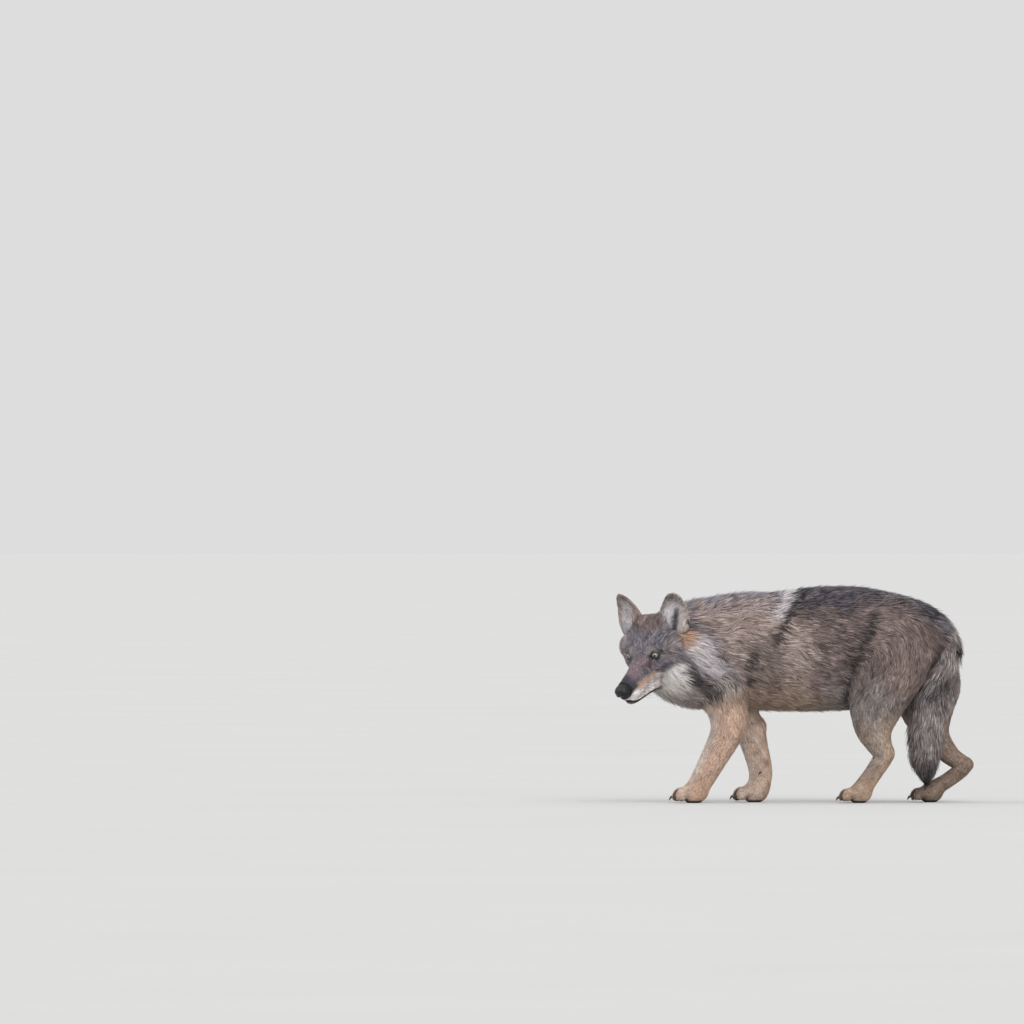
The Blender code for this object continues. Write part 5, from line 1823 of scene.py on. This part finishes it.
def coat_parts(coat):
    """The skin's triangles, by the name of the coat piece that covers them."""
    first = coat.triangles[:, 0]
    points, region = coat.points[first], coat.region[first]
    left = to_head(points)[:, 1] > 0
    names = np.array([""] * len(first), dtype=object)
    for number, label in enumerate(REGIONS):
        here = region == number
        if label in ("face", "ruff", "neck"):
            near = left if label != "neck" else points[:, 1] < NECK_MIDDLE
            names[here] = np.where(near[here], f"coat_{label}_left", f"coat_{label}_right")
        elif label == "trunk":
            fore = points[:, 0] < LOIN_START
            near = points[:, 1] < 0
            for half, part in ((fore, "ribs"), (~fore, "loin")):
                for side, hand in ((near, "left"), (~near, "right")):
                    names[here & half & side] = f"coat_{part}_{hand}"
        elif label == "tail":
            names[here] = "coat_tail"
        else:
            pair, hand = label.split("_")
            low = points[:, 2] < LEG_TOP
            names[here & low] = f"coat_{pair}leg_{hand}"
            names[here & ~low] = f"coat_{'shoulder' if pair == 'fore' else 'haunch'}_{hand}"
    ear = coat.ear[first] > 0.35
    names[ear] = np.where(left[ear], "coat_ear_left", "coat_ear_right")
    return names


SOLE = (0.004, 0.012)  # heights below which all of a foot is bare, and what looks down
BARE_NOSE = 1.08  # how far round the nose pad there is no hair, as a share of its size
BARE_LIPS = 0.0024
BARE_LIDS = 0.0034


def bare(coat):
    """Triangles with no hair: under the feet and the nose pad, in the eyes' openings and between the lips."""
    middle = coat.points[coat.triangles].mean(1)
    normals = coat.normals[coat.triangles[:, 0]]
    none = (middle[:, 2] < SOLE[0]) | ((middle[:, 2] < SOLE[1]) & (normals[:, 2] < -0.6))
    local = mirrored(middle)
    none |= np.linalg.norm((local - np.array(NOSE[0])) / (np.array(NOSE[1]) * BARE_NOSE), axis=1) < 1
    lips = line_distance(local[:, 0], local[:, 2], LIPS)
    none |= (lips < BARE_LIPS) & (local[:, 0] > 0.012) & (local[:, 1] < 0.06)
    for side in (-1, 1):
        gap, ahead, radius = eye_places(middle, side)
        none |= (gap < BARE_LIDS) & (ahead > 0) & (radius < 0.030)
    return none


FIRST_SEED = 100  # of the first piece of the coat; each next one has one more
HIDE_PAINTED_SHADE = (0.50, 0.30)  # painted shade: how light the skin is beside its hair, darkened as if shaded by the coat, and how much lighter where that hair is short

skin = make_skin()
coat = Coat(skin)
hair = hair_material("wolf_hair", 0.62, 420.0, 0.0, **{"Specular IOR Level": 0.28, "Sheen Weight": 0.10})
hide = hair_material("wolf_hide", 0.70, 700.0, 0.0006, **{"Specular IOR Level": 0.25})
short = smooth_step(0.020, 0.008, coat.sizes[0])[:, None]
# The skin gets painted shade where it shows between the tufts.
set_colours(skin.data, coat.colour * (HIDE_PAINTED_SHADE[0] + HIDE_PAINTED_SHADE[1] * short))
skin.data.materials.append(hide)

names = coat_parts(coat)
names[bare(coat)] = ""
coats = []
for number, name in enumerate(sorted(set(names) - {""})):
    piece = grow(coat, name, np.flatnonzero(names == name), FIRST_SEED + number)
    piece.data.materials.append(hair)
    coats.append(piece)
write_points(skin.data, coat.points + SHIFT)

eye_look = eye_material()
eyes = {}
for hand, side in (("left", -1), ("right", 1)):
    eyes[hand] = make_eye(hand, side)
    eyes[hand].data.materials.append(eye_look)
lids = make_lids()
lid_skin = hair_material("lid", 0.42, 900.0, 0.0002, **{"Specular IOR Level": 0.5})
lids.data.materials.append(lid_skin)
nose = make_nose()
nose_shine = {"Specular IOR Level": 0.30, "Coat Weight": 0.22, "Coat Roughness": 0.28}
nose.data.materials.append(hair_material("nose_leather", 0.45, 900.0, 0.0005, **nose_shine))
horn = leather_material("claw_horn", (0.020, 0.017, 0.015), (0.060, 0.050, 0.043), 0.40, 300.0, 0.0001)
claws = []
for leg in LEGS:
    piece, replaced = make_claws(leg)
    piece.data.materials.append(horn)
    claws.append((piece, replaced))
whiskers = make_whiskers()
bristle = leather_material("whisker", (0.02, 0.018, 0.016), (0.10, 0.09, 0.08), 0.5, 200.0, 0.0)
whiskers.data.materials.append(bristle)

pieces = set(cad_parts)
horns = {node for _, replaced in claws for node in replaced}
flesh = sorted(pieces - horns - {"nose", "eye_left", "eye_right"})
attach(skin, "root")
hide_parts(*flesh)
for piece in coats:
    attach(piece, "root")
for hand, piece in eyes.items():
    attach(piece, "root")
    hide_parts(f"eye_{hand}")
for piece, slot in ((lids, "nose"), (whiskers, "claw")):
    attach(piece, "root")
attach(nose, "root")
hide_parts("nose")
for piece, replaced in claws:
    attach(piece, "root")
    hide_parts(*replaced)

# ---------------------------------------------------------------- floor, light and camera

FLOOR_HALF = 300.0
mesh = bmesh.new()
bmesh.ops.create_grid(mesh, x_segments=1, y_segments=1, size=FLOOR_HALF)
floor = object_from("floor", mesh)
floor_paint = leather_material("floor", (0.595, 0.595, 0.590), (0.615, 0.615, 0.610), 0.9, 0.8, 0.0)
floor.data.materials.append(floor_paint)

world = bpy.data.worlds.new("studio")
world.use_nodes = True
world.node_tree.nodes["Background"].inputs["Color"].default_value = (0.72, 0.72, 0.72, 1)
world.node_tree.nodes["Background"].inputs["Strength"].default_value = 1.0
bpy.context.scene.world = world
bpy.context.scene.view_settings.view_transform = "Standard"


def add_lamp(name, way, power, spread):
    """A broad soft light from the direction given."""
    light = bpy.data.lights.new(name, "SUN")
    light.energy = power
    light.angle = math.radians(spread)
    new_object(name, light).rotation_euler = Vector(way).to_track_quat("Z", "Y").to_euler()


add_lamp("key", (0.20, -0.80, 0.95), 1.15, 40)
add_lamp("side", (-0.90, -0.15, 0.90), 0.60, 50)
add_lamp("fill", (0.25, -1.00, 0.12), 1.20, 60)

VIEW = (-0.877, 0.902)  # what the picture's middle looks at, x and z
VIEW_WIDTH = 3.1744  # of the picture where the wolf stands
DISTANCE = 50.0
camera = bpy.data.cameras.new("camera")
camera.sensor_width = 36.0
camera.lens = camera.sensor_width * DISTANCE / VIEW_WIDTH
camera.clip_end = 1000.0
looker = new_object("camera", camera)
looker.location = (VIEW[0], -DISTANCE, VIEW[1])
looker.rotation_euler = (math.pi / 2, 0, 0)
bpy.context.scene.camera = looker
